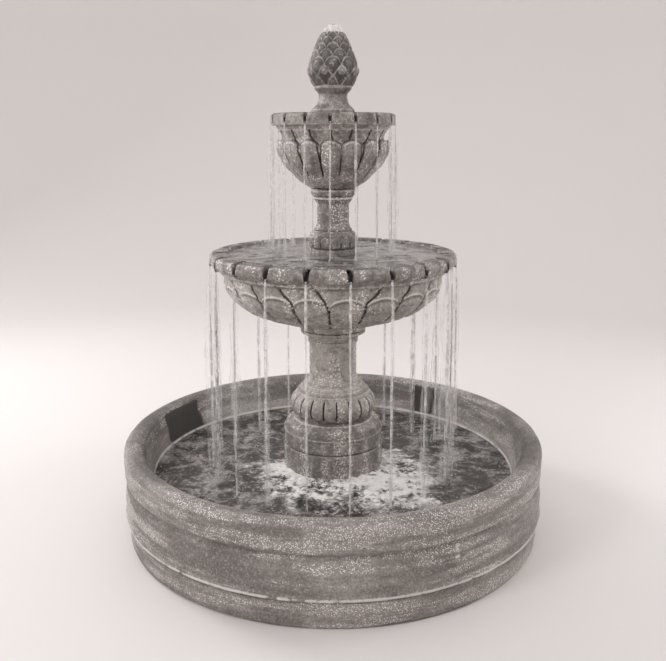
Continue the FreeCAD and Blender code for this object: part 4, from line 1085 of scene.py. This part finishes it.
class FOUNTAIN_OT_upper_bowl(bpy.types.Operator):
    """Turns and carves the small upper bowl"""
    bl_idname = "fountain.upper_bowl"
    bl_label = "Upper bowl"

    def execute(self, context):
        stone = context.scene.fountain_stone
        low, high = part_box("upper_bowl")
        base, top, radius = low.z, high.z, high.x
        foot = top - UPPER_RIM_HEIGHT
        belly = foot - base
        inner = radius - UPPER_RIM_WIDTH
        seat = base + 65 * MM
        profile = outline([
            (19 * MM, base), (66 * MM, base, 3 * MM), (radius * 0.57, base + 0.12 * belly, 60 * MM),
            (radius * 0.73, base + 0.345 * belly, 90 * MM), (radius * 0.865, base + 0.57 * belly, 50 * MM),
            (radius * 0.862, base + 0.73 * belly, 14 * MM), (radius - 31 * MM, base + 0.80 * belly, 3 * MM),
            (radius - 29 * MM, base + 0.865 * belly, 8 * MM), (radius - 18 * MM, foot - 9 * MM, 2 * MM),
            (radius - 15 * MM, foot - 5 * MM, 2 * MM), (radius - 16 * MM, foot, 2 * MM),
            (radius - 1 * MM, foot, 2 * MM), (radius, foot + 5 * MM, 6 * MM), (radius, top - 3 * MM, 8 * MM),
            (radius - 10 * MM, top, 8 * MM), (inner, top, 3 * MM),
            (inner - 6 * MM, base + 0.89 * belly, 30 * MM), (radius * 0.62, base + 0.37 * belly, 40 * MM),
            (78 * MM, seat - 17 * MM, 6 * MM), (70 * MM, seat, 3 * MM), (22 * MM, seat)],
            bowl_step("upper_bowl", inner, base + 60 * MM, base + 160 * MM, 2.0 * MM, 20 * MM))
        turns = crowded(stone.upper_sectors, 40, FRONT + stone.upper_turn, 0.0)
        piece = turned("stone_upper_bowl", profile, turns, carve_upper_bowl)
        tier(piece, "upper_bowl", made_once("wet_stone", wet_stone))
        return {"FINISHED"}


class FOUNTAIN_OT_finial(bpy.types.Operator):
    """Turns the finial and carves its scales"""
    bl_idname = "fountain.finial"
    bl_label = "Finial"

    def execute(self, context):
        low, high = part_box("finial")
        base, top = low.z, high.z
        foot = base + 145 * MM
        cone = top - foot - 62 * MM
        profile = outline([
            (11.8 * MM, base), (60 * MM, base, 3 * MM), (60 * MM, foot - 4 * MM, 2 * MM),
            (59 * MM, foot, 3 * MM), (44 * MM, foot + 14 * MM, 14 * MM), (39 * MM, foot + 30 * MM, 16 * MM),
            (40 * MM, foot + 42 * MM, 8 * MM), (51 * MM, foot + 54 * MM, 2 * MM),
            (51 * MM, foot + 60 * MM, 2 * MM), (54 * MM, foot + 62 * MM, 1 * MM),
            (70 * MM, foot + 62 * MM + 0.25 * cone, 24 * MM),
            (65 * MM, foot + 62 * MM + 0.46 * cone, 30 * MM), (39.5 * MM, top - 14 * MM, 20 * MM),
            (28.5 * MM, top, 6 * MM), (16.8 * MM, top, 2 * MM), (11.8 * MM, top - 7 * MM, 2 * MM)],
            lambda r, z: 30 * MM if r < 15 * MM else (1.7 * MM if z > foot - 8 * MM else 9 * MM))
        piece = turned("stone_finial", profile, crowded(1, 378, 0.0), carve_finial)
        tier(piece, "finial", made_once("wet_stone", wet_stone), "finial")
        return {"FINISHED"}


# ---------------------------------------------------------------- water
def water_sheet(name, inner, outer, level, rows, columns, raise_by, thickness=10 * MM):
    """Closed ring of water: a rippled top, an underside, and walls tucked into the stone.

    Point (r, a) of the top lies at height level + raise_by(r, a); rows run outwards on top and back
    below.
    """
    turns = np.arange(columns) * TURN / columns
    r, a = np.meshgrid(inner + (outer - inner) * np.linspace(0, 1, rows), turns, indexing="ij")
    lift, foam, stir = raise_by(r, a)
    top = np.stack([r * np.cos(a), r * np.sin(a), level + lift], axis=-1)
    r, a = np.meshgrid(inner + (outer - inner) * np.array([1.0, 0.66, 0.33, 0.0]), turns, indexing="ij")
    under = np.stack([r * np.cos(a), r * np.sin(a), np.full_like(r, level - thickness)], axis=-1)
    points = np.concatenate([top, under])
    still = np.zeros_like(r)
    return add_mesh(name, points.reshape(-1, 3), grid_faces(len(points), columns),
                    {"foam": np.concatenate([foam, still]), "stir": np.concatenate([stir, still])})


def impacts(radius, sectors, first):
    """Where a ring of strands meets the water below, as an array of (x, y)."""
    t = FRONT + first + np.arange(sectors) * TURN / sectors
    return np.stack([radius * np.cos(t), radius * np.sin(t)], axis=1)


def rings_about(x, y, spots, reach):
    """Ripples that spread from each spot: the sum of cos(k d) exp(-d / reach)."""
    total = np.zeros_like(x)
    for sx, sy in spots:
        d = np.hypot(x - sx, y - sy)
        total += np.cos(d * TURN / (14 * MM)) * np.exp(-d / reach)
    return total


class FOUNTAIN_OT_pool_water(bpy.types.Operator):
    """Fills the pool with rippled water, and heaps foam round the plinth"""
    bl_idname = "fountain.pool_water"
    bl_label = "Pool water"

    def execute(self, context):
        water, stone = context.scene.fountain_water, context.scene.fountain_stone
        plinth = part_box("plinth")[1].x
        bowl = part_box("lower_bowl")[1].x
        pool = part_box("pool_basin")[1].x
        spots = impacts(bowl + water.fall_reach, stone.lower_sectors, stone.lower_turn)

        def surface(r, a):
            x, y = r * np.cos(a), r * np.sin(a)
            flat = np.stack([x, y, 0 * x], axis=-1)
            ripples = noise(flat, 34 * MM, 5, 3) + 0.5 * noise(flat, 15 * MM, 8, 2)
            waves = 0.35 * rings_about(x, y, spots, 26 * MM)
            front = half_turn(a - FRONT)
            spread = 140 * MM + 120 * MM * bell(front - 0.10, 0.9) + 160 * MM * bell(front - 0.75, 0.5)
            rays = noise(np.stack([0.35 * front, 0.35 * (r - plinth), 0 * r], axis=-1), 30 * MM, 23, 3)
            ragged = 55 * MM * noise(flat, 60 * MM, 26, 3) + 45 * MM * rays
            around = smooth(1.0, 0.15, (r - plinth + ragged) / spread)
            around = around * smooth(2.2, 1.4, np.abs(front - 0.25))
            patches = smooth(0.18, 0.55, noise(flat, 45 * MM, 33, 3)) * smooth(0.50, 0.34, r)
            landing = rings_about(x, y, spots, 9 * MM) > 0.45
            lace = 0.5 + 0.5 * noise(flat, 26 * MM, 61, 3)
            froth = around * (0.45 + 0.85 * lace) + 0.36 * patches * smooth(2.8, 1.4, np.abs(front))
            froth = np.clip(froth + 0.5 * landing, 0, 1)
            lumps = 0.5 + 0.5 * noise(flat, 12 * MM, 41, 2)
            lift = water.ripple * (ripples + waves) + froth * water.foam * (0.15 + 0.85 * lumps)
            lift = lift * smooth(0, 6 * MM, pool - POOL_WALL + 2 * MM - r)
            return lift, froth, 0.5 + 0.5 * np.clip(ripples + 0.3 * waves, -1, 1)

        sheet = water_sheet("pool_water", plinth - 2 * MM, pool - POOL_WALL, water.pool_level, 150, 620,
                            surface)
        poured(sheet, made_once("still_water", still_water))
        return {"FINISHED"}


def still_water(name):
    """Still or stirred water: dark and glossy, clouded where it is stirred, white where it foams."""
    water = bpy.context.scene.fountain_water
    f = Finish(name, IOR=1.33)
    foam, stir = f.attribute("foam"), f.attribute("stir")
    clouds = f.noise(13.0, 5.0, 0.6, warp=0.9)
    flecks = f.noise(75.0, 5.0, 0.65, warp=0.5)
    swirl = f.noise(24.0, 4.0, 0.6, warp=1.6)
    ridges = (1 - abs(swirl - 0.5) * 14.0).held()
    tone = clouds * 0.60 + flecks * 0.22 + stir * 0.18
    shade = f.mix(tone.between(0.45, 0.62), tuple(water.deep), tuple(water.shallow))
    shade = f.mix(ridges * (clouds * 0.5 + flecks * 0.5).between(0.45, 0.62) * 0.30, shade,
                  tuple(water.froth))
    dots = (1 - f.cells(95.0)).between(0.70, 0.84) * swirl.between(0.48, 0.58)
    shade = f.mix(dots * 0.5, shade, tuple(water.froth))
    shade = f.mix((0.5 - clouds).between(0.05, 0.13) * 0.75, shade, times(0.6, water.deep))
    broken = (foam * (0.90 + (flecks - 0.5) * 3.0 + (clouds - 0.5) * 3.0)).between(0.12, 0.95)
    shade = f.mix(broken, shade, tuple(water.froth))
    bubbles = f.cells(300.0)
    f.wear(Base_Color=shade, Roughness=(0.06 + broken * 0.5).held(),
           Normal=f.bump(flecks * 0.6 + clouds * 0.6 + bubbles * broken * 0.8, 2.2 * MM, 0.8))
    return f.material


class FOUNTAIN_OT_bowl_water(bpy.types.Operator):
    """Fills both bowls to just under their rims"""
    bl_idname = "fountain.bowl_water"
    bl_label = "Bowl water"

    def execute(self, context):
        water, stone = context.scene.fountain_water, context.scene.fountain_stone
        high, up_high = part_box("lower_bowl")[1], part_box("upper_bowl")[1]
        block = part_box("upper_pedestal")[1].x
        spots = impacts(up_high.x + UPPER_REACH * water.fall_reach, stone.upper_sectors, stone.upper_turn)

        def lower(r, a):
            x, y = r * np.cos(a), r * np.sin(a)
            flat = np.stack([x, y, 0 * x], axis=-1)
            ripples = noise(flat, 30 * MM, 15, 3)
            waves = 0.5 * rings_about(x, y, spots, 20 * MM)
            near = smooth(30 * MM, 8 * MM, np.abs(r - up_high.x))
            broken = near * smooth(0.0, 0.6, noise(flat, 20 * MM, 17, 2) + 0.2)
            dips = smooth(0.1, 0.45, noise(flat, 24 * MM, 19, 2))
            dips = dips * smooth(85 * MM, 40 * MM, np.abs(r - up_high.x - 25 * MM))
            stir = 0.75 + 0.25 * np.clip(ripples + waves, -1, 1) - 1.1 * dips
            return 1.2 * MM * (ripples + waves - dips), 0.35 * broken * (1 - dips), stir

        def upper(r, a):
            flat = np.stack([r * np.cos(a), r * np.sin(a), 0 * r], axis=-1)
            ripples = noise(flat, 22 * MM, 25, 3)
            return 1.0 * MM * ripples, 0 * r, 0.6 + 0.3 * ripples

        for name, inner, outer, level, rows, columns, surface in (
                ("lower_bowl_water", block - 1.5 * MM, high.x - LOWER_RIM_WIDTH + 3 * MM,
                 high.z - water.lower_level, 76, 420, lower),
                ("upper_bowl_water", 58.5 * MM, up_high.x - UPPER_RIM_WIDTH + 2 * MM,
                 up_high.z - water.upper_level, 36, 260, upper)):
            sheet = water_sheet(name, inner, outer, level, rows, columns, surface, 6 * MM)
            poured(sheet, made_once("still_water", still_water))
        return {"FINISHED"}


def capped(rings):
    """Points and faces of a tube through rings of points, each end closed on its middle point."""
    rows, sides = rings.shape[:2]
    i = np.arange(sides)
    j = (i + 1) % sides
    last = (rows - 1) * sides
    faces = [grid_faces(rows, sides, close_rows=False), fan(j, i, rows * sides),
             fan(i + last, j + last, rows * sides + 1)]
    ends = rings[[0, -1]].mean(axis=1)
    return np.concatenate([rings.reshape(-1, 3), ends]), np.concatenate(faces)


def strand_points(start, turn, top, bottom, half, deep, reach, seed, rows=76, sides=8):
    """A falling strand: an ellipse carried down a thrown path.

    The path leaves the spout outwards and falls, so its radius grows as start + reach sqrt(t), and it
    sways a little.  The ellipse is half wide round the fountain's axis and deep along the radius, because
    the faster water lands further out, and both swell and thin along the way by smooth noise.
    """
    t = np.linspace(0, 1, rows)
    z = top + (bottom - top) * t
    along = np.stack([np.full_like(t, seed * 3.7), t * (top - bottom), np.zeros_like(t)], axis=-1)
    sway = 3.0 * MM * noise(along, 0.16, 3, 2) * smooth(0.0, 0.4, t)
    drift = 0.5 * deep * noise(along, 0.11, 23, 2) * smooth(0.0, 0.3, t)
    wide = half * (1.0 + 0.75 * noise(along, 0.09, 5, 3)) * (1 - 0.25 * t)
    thick = deep * (0.35 + 0.65 * smooth(0, 0.25, t)) * (1.0 + 0.55 * noise(along, 0.07, 29, 3))
    wide, thick = np.clip(wide, 0.5 * MM, None), np.clip(thick, 0.5 * MM, None)
    radius = start + reach * np.sqrt(t) + drift
    angles = np.arange(sides) * TURN / sides
    c, s = math.cos(turn), math.sin(turn)
    across = sway[:, None] + wide[:, None] * np.cos(angles)
    outwards = radius[:, None] + thick[:, None] * np.sin(angles)
    x = outwards * c - across * s
    y = outwards * s + across * c
    return capped(np.stack([x, y, z[:, None] + 0 * x], axis=-1))


def gather(name, parts):
    """One piece from several (points, faces) parts."""
    points, faces, count = [], [], 0
    for p, f in parts:
        points.append(p)
        faces.append(f + count)
        count += len(p)
    return add_mesh(name, np.concatenate(points), np.concatenate(faces))


class FOUNTAIN_OT_strands(bpy.types.Operator):
    """Lets water fall from every spout of both bowls"""
    bl_idname = "fountain.strands"
    bl_label = "Falling water"

    def execute(self, context):
        water, stone = context.scene.fountain_water, context.scene.fountain_stone
        high, up_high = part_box("lower_bowl")[1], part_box("upper_bowl")[1]
        luck = np.random.default_rng(12)
        falls = (
            ("lower", high.x, high.z - SPOUT_FILL * stone.lower_notch_depth, water.pool_level - 2 * MM,
             stone.lower_sectors, stone.lower_turn, water.strand, water.fall_reach),
            ("upper", up_high.x, up_high.z - SPOUT_FILL * stone.upper_notch_depth,
             high.z - water.lower_level - 2 * MM, stone.upper_sectors, stone.upper_turn,
             UPPER_STRAND * water.strand, UPPER_REACH * water.fall_reach))
        for name, radius, top, bottom, sectors, first, half, reach in falls:
            strings, veils = [], []
            for i in range(sectors):
                turn = FRONT + first + i * TURN / sectors
                for k in range(2):
                    offset = (luck.random() - 0.5) * 5 * MM / radius * (1 if k else 0.2)
                    width = half * (0.6 + 0.45 * luck.random()) * (0.6 if k else 1.0)
                    outer = reach * (0.7 + 0.6 * luck.random()) + (4 * MM if k else 0)
                    strings.append(strand_points(radius - 1 * MM, turn + offset, top, bottom, width,
                                                 1.2 * width, outer, seed=sectors * 10 + i * 2 + k))
                deep = half * (2.2 + 3.2 * luck.random())
                veils.append(strand_points(radius - 1 * MM, turn, top, bottom, 0.5 * half, deep,
                                           reach * 1.1, seed=sectors * 30 + i))
            poured(gather(f"{name}_strings", strings), made_once("falling_water", falling_water))
            poured(gather(f"{name}_veils", veils), made_once("veil_water", veil_water))
        return {"FINISHED"}


def falling_water(name):
    """Falling water: clear with white streaks drawn out downwards."""
    water = bpy.context.scene.fountain_water
    f = Finish(name, IOR=1.33, Base_Color=(*water.froth, 1.0))
    drawn = f.noise(120.0, 4.0, 0.6, where=f.stretched((1.0, 1.0, 0.12)))
    beads = f.noise(60.0, 3.0, 0.6)
    f.wear(Alpha=(0.06 + (drawn * 0.5 + beads * 0.5).between(0.44, 0.62) * 0.60).held(),
           Roughness=0.08 + beads * 0.1, Normal=f.bump(drawn + beads, 1.5 * MM, 0.8))
    return f.material


def veil_water(name):
    """The thin sheet between a spout's strings: almost clear, with drawn-out white threads."""
    water = bpy.context.scene.fountain_water
    f = Finish(name, IOR=1.33, Base_Color=(*water.froth, 1.0), Roughness=0.15)
    threads = f.noise(150.0, 4.0, 0.62, where=f.stretched((1.0, 1.0, 0.08)))
    waves = f.noise(26.0, 3.0, 0.6)
    f.wear(Alpha=(0.04 + threads.between(0.46, 0.64) * 0.24 + (waves - 0.5) * 0.25).held(),
           Normal=f.bump(threads + waves, 1.5 * MM, 0.6))
    return f.material


def droplet(centre, radius, stretch, sides=7, rows=5):
    """A closed drop: a sphere's rings between two poles, drawn out along Z by stretch."""
    lat = np.linspace(0, math.pi, rows)[1:-1]
    t = np.arange(sides) * TURN / sides
    rings = np.stack([np.sin(lat)[:, None] * np.cos(t), np.sin(lat)[:, None] * np.sin(t),
                      np.cos(lat)[:, None] * stretch + 0 * t], axis=-1)
    points, faces = capped(rings)
    points[-2:] = [[0, 0, stretch], [0, 0, -stretch]]
    return points * radius + centre, faces


class FOUNTAIN_OT_splashes(bpy.types.Operator):
    """Throws up drops where the strands land"""
    bl_idname = "fountain.splashes"
    bl_label = "Splashes"

    def execute(self, context):
        water, stone = context.scene.fountain_water, context.scene.fountain_stone
        high, up_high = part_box("lower_bowl")[1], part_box("upper_bowl")[1]
        luck = np.random.default_rng(7)
        rings = (
            ("pool_splashes", high.x + water.fall_reach, water.pool_level, stone.lower_sectors,
             stone.lower_turn, 16, 26 * MM, 34 * MM),
            ("bowl_splashes", up_high.x + UPPER_REACH * water.fall_reach, high.z - water.lower_level,
             stone.upper_sectors, stone.upper_turn, 9, 14 * MM, 16 * MM))
        for name, radius, level, sectors, first, drops, spread, rise in rings:
            parts = []
            for x, y in impacts(radius, sectors, first):
                for _ in range(drops):
                    d, t, up = luck.random() * spread, luck.random() * TURN, luck.random() ** 2 * rise
                    size = (0.7 + 1.6 * luck.random() ** 2) * MM
                    centre = np.array([x + d * math.cos(t), y + d * math.sin(t), level + up + size])
                    parts.append(droplet(centre, size, 1.0 + 0.5 * luck.random()))
            poured(gather(name, parts), made_once("falling_water", falling_water))
        return {"FINISHED"}


class FOUNTAIN_OT_bubble(bpy.types.Operator):
    """Wells water up out of the finial"""
    bl_idname = "fountain.bubble"
    bl_label = "Welling water"

    def execute(self, context):
        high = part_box("finial")[1]
        rows, columns = 26, 72
        t = np.linspace(0, 1, rows)
        radius = 27 * MM * np.sin(t * math.pi / 2) ** 0.8
        height = high.z - 3 * MM + 25 * MM * (1 - t ** 2.2)
        a = np.arange(columns) * TURN / columns
        r, a = np.meshgrid(radius, a, indexing="ij")
        z = np.repeat(height[:, None], columns, axis=1)
        points = np.stack([r * np.cos(a), r * np.sin(a), z], axis=-1)
        lumps = 2.6 * MM * noise(points, 12 * MM, 9, 3) * smooth(0, 0.2, t)[:, None]
        points = points + lumps[..., None]
        points = points.reshape(-1, 3)
        points[:columns] = points[:columns].mean(axis=0)
        middle = np.array([[0, 0, high.z - 3 * MM]])
        i = np.arange(columns) + (rows - 1) * columns
        faces = [pole_faces(grid_faces(rows, columns, close_rows=False), columns),
                 fan(i, np.roll(i, -1), rows * columns)]
        bubble = add_mesh("welling_water", np.concatenate([points, middle]), np.concatenate(faces))
        poured(bubble, made_once("falling_water", falling_water), "finial")
        return {"FINISHED"}


# ---------------------------------------------------------------- fittings
class FOUNTAIN_OT_fittings(bpy.types.Operator):
    """Gives the pump, pipes, seals and pool fittings their finishes"""
    bl_idname = "fountain.fittings"
    bl_label = "Fittings"

    def execute(self, context):
        finishes = {
            "black_rubber": plain_finish("black_rubber", (0.028, 0.027, 0.026), 0.62),
            "plug_rubber": plain_finish("plug_rubber", (0.11, 0.10, 0.095), 0.55),
            "shim_plastic": plain_finish("shim_plastic", (0.16, 0.155, 0.15), 0.5),
            "riser_pipe": plain_finish("riser_pipe", (0.52, 0.31, 0.2), 0.36, 1.0, 90.0,
                                       stretch=(1, 1, 0.05)),
            "hose_vinyl": plain_finish("hose_vinyl", (0.05, 0.05, 0.048), 0.34, stretch=(1, 1, 0.2)),
            "pump_plastic": plain_finish("pump_plastic", (0.032, 0.033, 0.036), 0.42, 0.0, 600.0, 0.25 * MM),
            "rotor_plastic": plain_finish("rotor_plastic", (0.66, 0.65, 0.61), 0.3),
            "dial_plastic": plain_finish("dial_plastic", (0.45, 0.44, 0.41), 0.35),
            "pin_ceramic": plain_finish("pin_ceramic", (0.82, 0.8, 0.76), 0.2, depth=0.03 * MM, spread=0.06),
            "filter_foam": plain_finish("filter_foam", (0.045, 0.045, 0.043), 0.9, 0.0, 480.0, 1.6 * MM, 0.7),
            "clamp_steel": plain_finish("clamp_steel", (0.6, 0.58, 0.56), 0.3, 1.0, 260.0, 0.08 * MM, 0.12,
                                        (1, 1, 8)),
            "drain_brass": plain_finish("drain_brass", (0.46, 0.33, 0.16), 0.4, 1.0, 60.0, 0.2 * MM, 0.35),
        }
        slots = {s["node"]: s["material_slot"] for s in frame["record"]["subparts"]}
        for node, thing in frame["nodes"].items():
            finish = finishes.get(slots.get(node))
            if finish is None:
                continue
            thing.data.materials.clear()
            thing.data.materials.append(finish.material)
        return {"FINISHED"}


# ---------------------------------------------------------------- stage
class FOUNTAIN_OT_stage(bpy.types.Operator):
    """Sets the camera, the lights and the pale floor that runs up into a backdrop"""
    bl_idname = "fountain.stage"
    bl_label = "Stage"

    def execute(self, context):
        stage = context.scene.fountain_stage
        camera = bpy.data.objects.new("camera", bpy.data.cameras.new("camera"))
        camera.data.lens = stage.lens
        camera.data.sensor_width = 36.0
        camera.location = (0.0, -stage.distance, stage.height)
        camera.rotation_euler = (math.pi / 2 - stage.tilt, 0.0, 0.0)
        context.scene.collection.objects.link(camera)
        context.scene.camera = camera
        self.light("key", stage.key, 1.1, (-2.8, 1.5, 2.2), (0.0, 0.0, 0.4))
        self.light("fill", stage.fill, 1.0, (-2.3, -2.3, 2.2), (0.0, 0.0, 0.5))
        self.light("edge", stage.edge, 1.0, (2.9, 0.5, 1.5), (0.0, 0.0, 0.4))
        context.scene.view_settings.view_transform = "Standard"
        world = bpy.data.worlds.new("surround")
        world.use_nodes = True
        world.node_tree.nodes["Background"].inputs["Color"].default_value = (1.0, 0.975, 0.967, 1.0)
        world.node_tree.nodes["Background"].inputs["Strength"].default_value = stage.sky
        context.scene.world = world
        self.floor(tuple(stage.paper))
        return {"FINISHED"}

    def light(self, name, power, size, place, target):
        data = bpy.data.lights.new(name, "AREA")
        data.energy, data.size = power, size
        lamp = bpy.data.objects.new(name, data)
        lamp.location = place
        lamp.rotation_euler = (Vector(target) - Vector(place)).to_track_quat("-Z", "Y").to_euler()
        bpy.context.scene.collection.objects.link(lamp)

    def floor(self, shade):
        """A large disc: flat near the fountain, then rising as a quarter circle of 2 m radius behind."""
        rows, columns = 90, 96
        s = np.linspace(0.0, 9.0, rows)
        flat, bend = 3.2, 2.0
        turn = np.clip((s - flat) / bend, 0, math.pi / 2)
        r = np.where(s < flat, s, flat + bend * np.sin(turn))
        z = np.where(s < flat, 0.0, bend * (1 - np.cos(turn)))
        z = z + np.clip(s - flat - bend * math.pi / 2, 0, None)
        a = np.arange(columns) * TURN / columns
        r, a = np.meshgrid(r, a, indexing="ij")
        z = np.repeat(z[:, None], columns, axis=1)
        points = np.stack([r * np.cos(a), r * np.sin(a), z - 0.4 * MM], axis=-1).reshape(-1, 3)
        ground = add_mesh("ground", points, pole_faces(grid_faces(rows, columns, close_rows=False), columns))
        f = Finish("paper", Roughness=0.85)
        f.wear(Base_Color=f.mix(f.noise(40.0).between(0.3, 0.7) * 0.04, shade, times(0.9, shade)))
        ground.data.materials.append(f.material)


# ---------------------------------------------------------------- panel and registration
GROUPS = (("fountain_stone", FountainStone), ("fountain_water", FountainWater),
          ("fountain_stage", FountainStage))
OPERATORS = (FOUNTAIN_OT_stage, FOUNTAIN_OT_pool, FOUNTAIN_OT_plinth, FOUNTAIN_OT_pedestal,
             FOUNTAIN_OT_lower_bowl, FOUNTAIN_OT_upper_pedestal, FOUNTAIN_OT_upper_bowl, FOUNTAIN_OT_finial,
             FOUNTAIN_OT_pool_water, FOUNTAIN_OT_bowl_water, FOUNTAIN_OT_strands, FOUNTAIN_OT_splashes,
             FOUNTAIN_OT_bubble, FOUNTAIN_OT_fittings)


class FOUNTAIN_PT_panel(bpy.types.Panel):
    """Lists the fountain's pieces and their sizes and colours"""
    bl_idname = "FOUNTAIN_PT_panel"
    bl_label = "Fountain"
    bl_space_type = "VIEW_3D"
    bl_region_type = "UI"
    bl_category = "Fountain"

    def draw(self, context):
        for operator in OPERATORS:
            self.layout.operator(operator.bl_idname)
        for name, group in GROUPS:
            box = self.layout.box()
            for key in group.__annotations__:
                box.prop(getattr(context.scene, name), key)


def register():
    for name, group in GROUPS:
        bpy.utils.register_class(group)
        setattr(bpy.types.Scene, name, PointerProperty(type=group))
    for operator in OPERATORS:
        bpy.utils.register_class(operator)
    bpy.utils.register_class(FOUNTAIN_PT_panel)


def unregister():
    bpy.utils.unregister_class(FOUNTAIN_PT_panel)
    for operator in reversed(OPERATORS):
        bpy.utils.unregister_class(operator)
    for name, group in reversed(GROUPS):
        delattr(bpy.types.Scene, name)
        bpy.utils.unregister_class(group)


def main():
    register()
    for operator in OPERATORS:
        group, name = operator.bl_idname.split(".")
        getattr(getattr(bpy.ops, group), name)()


if __name__ == "__main__":
    main()
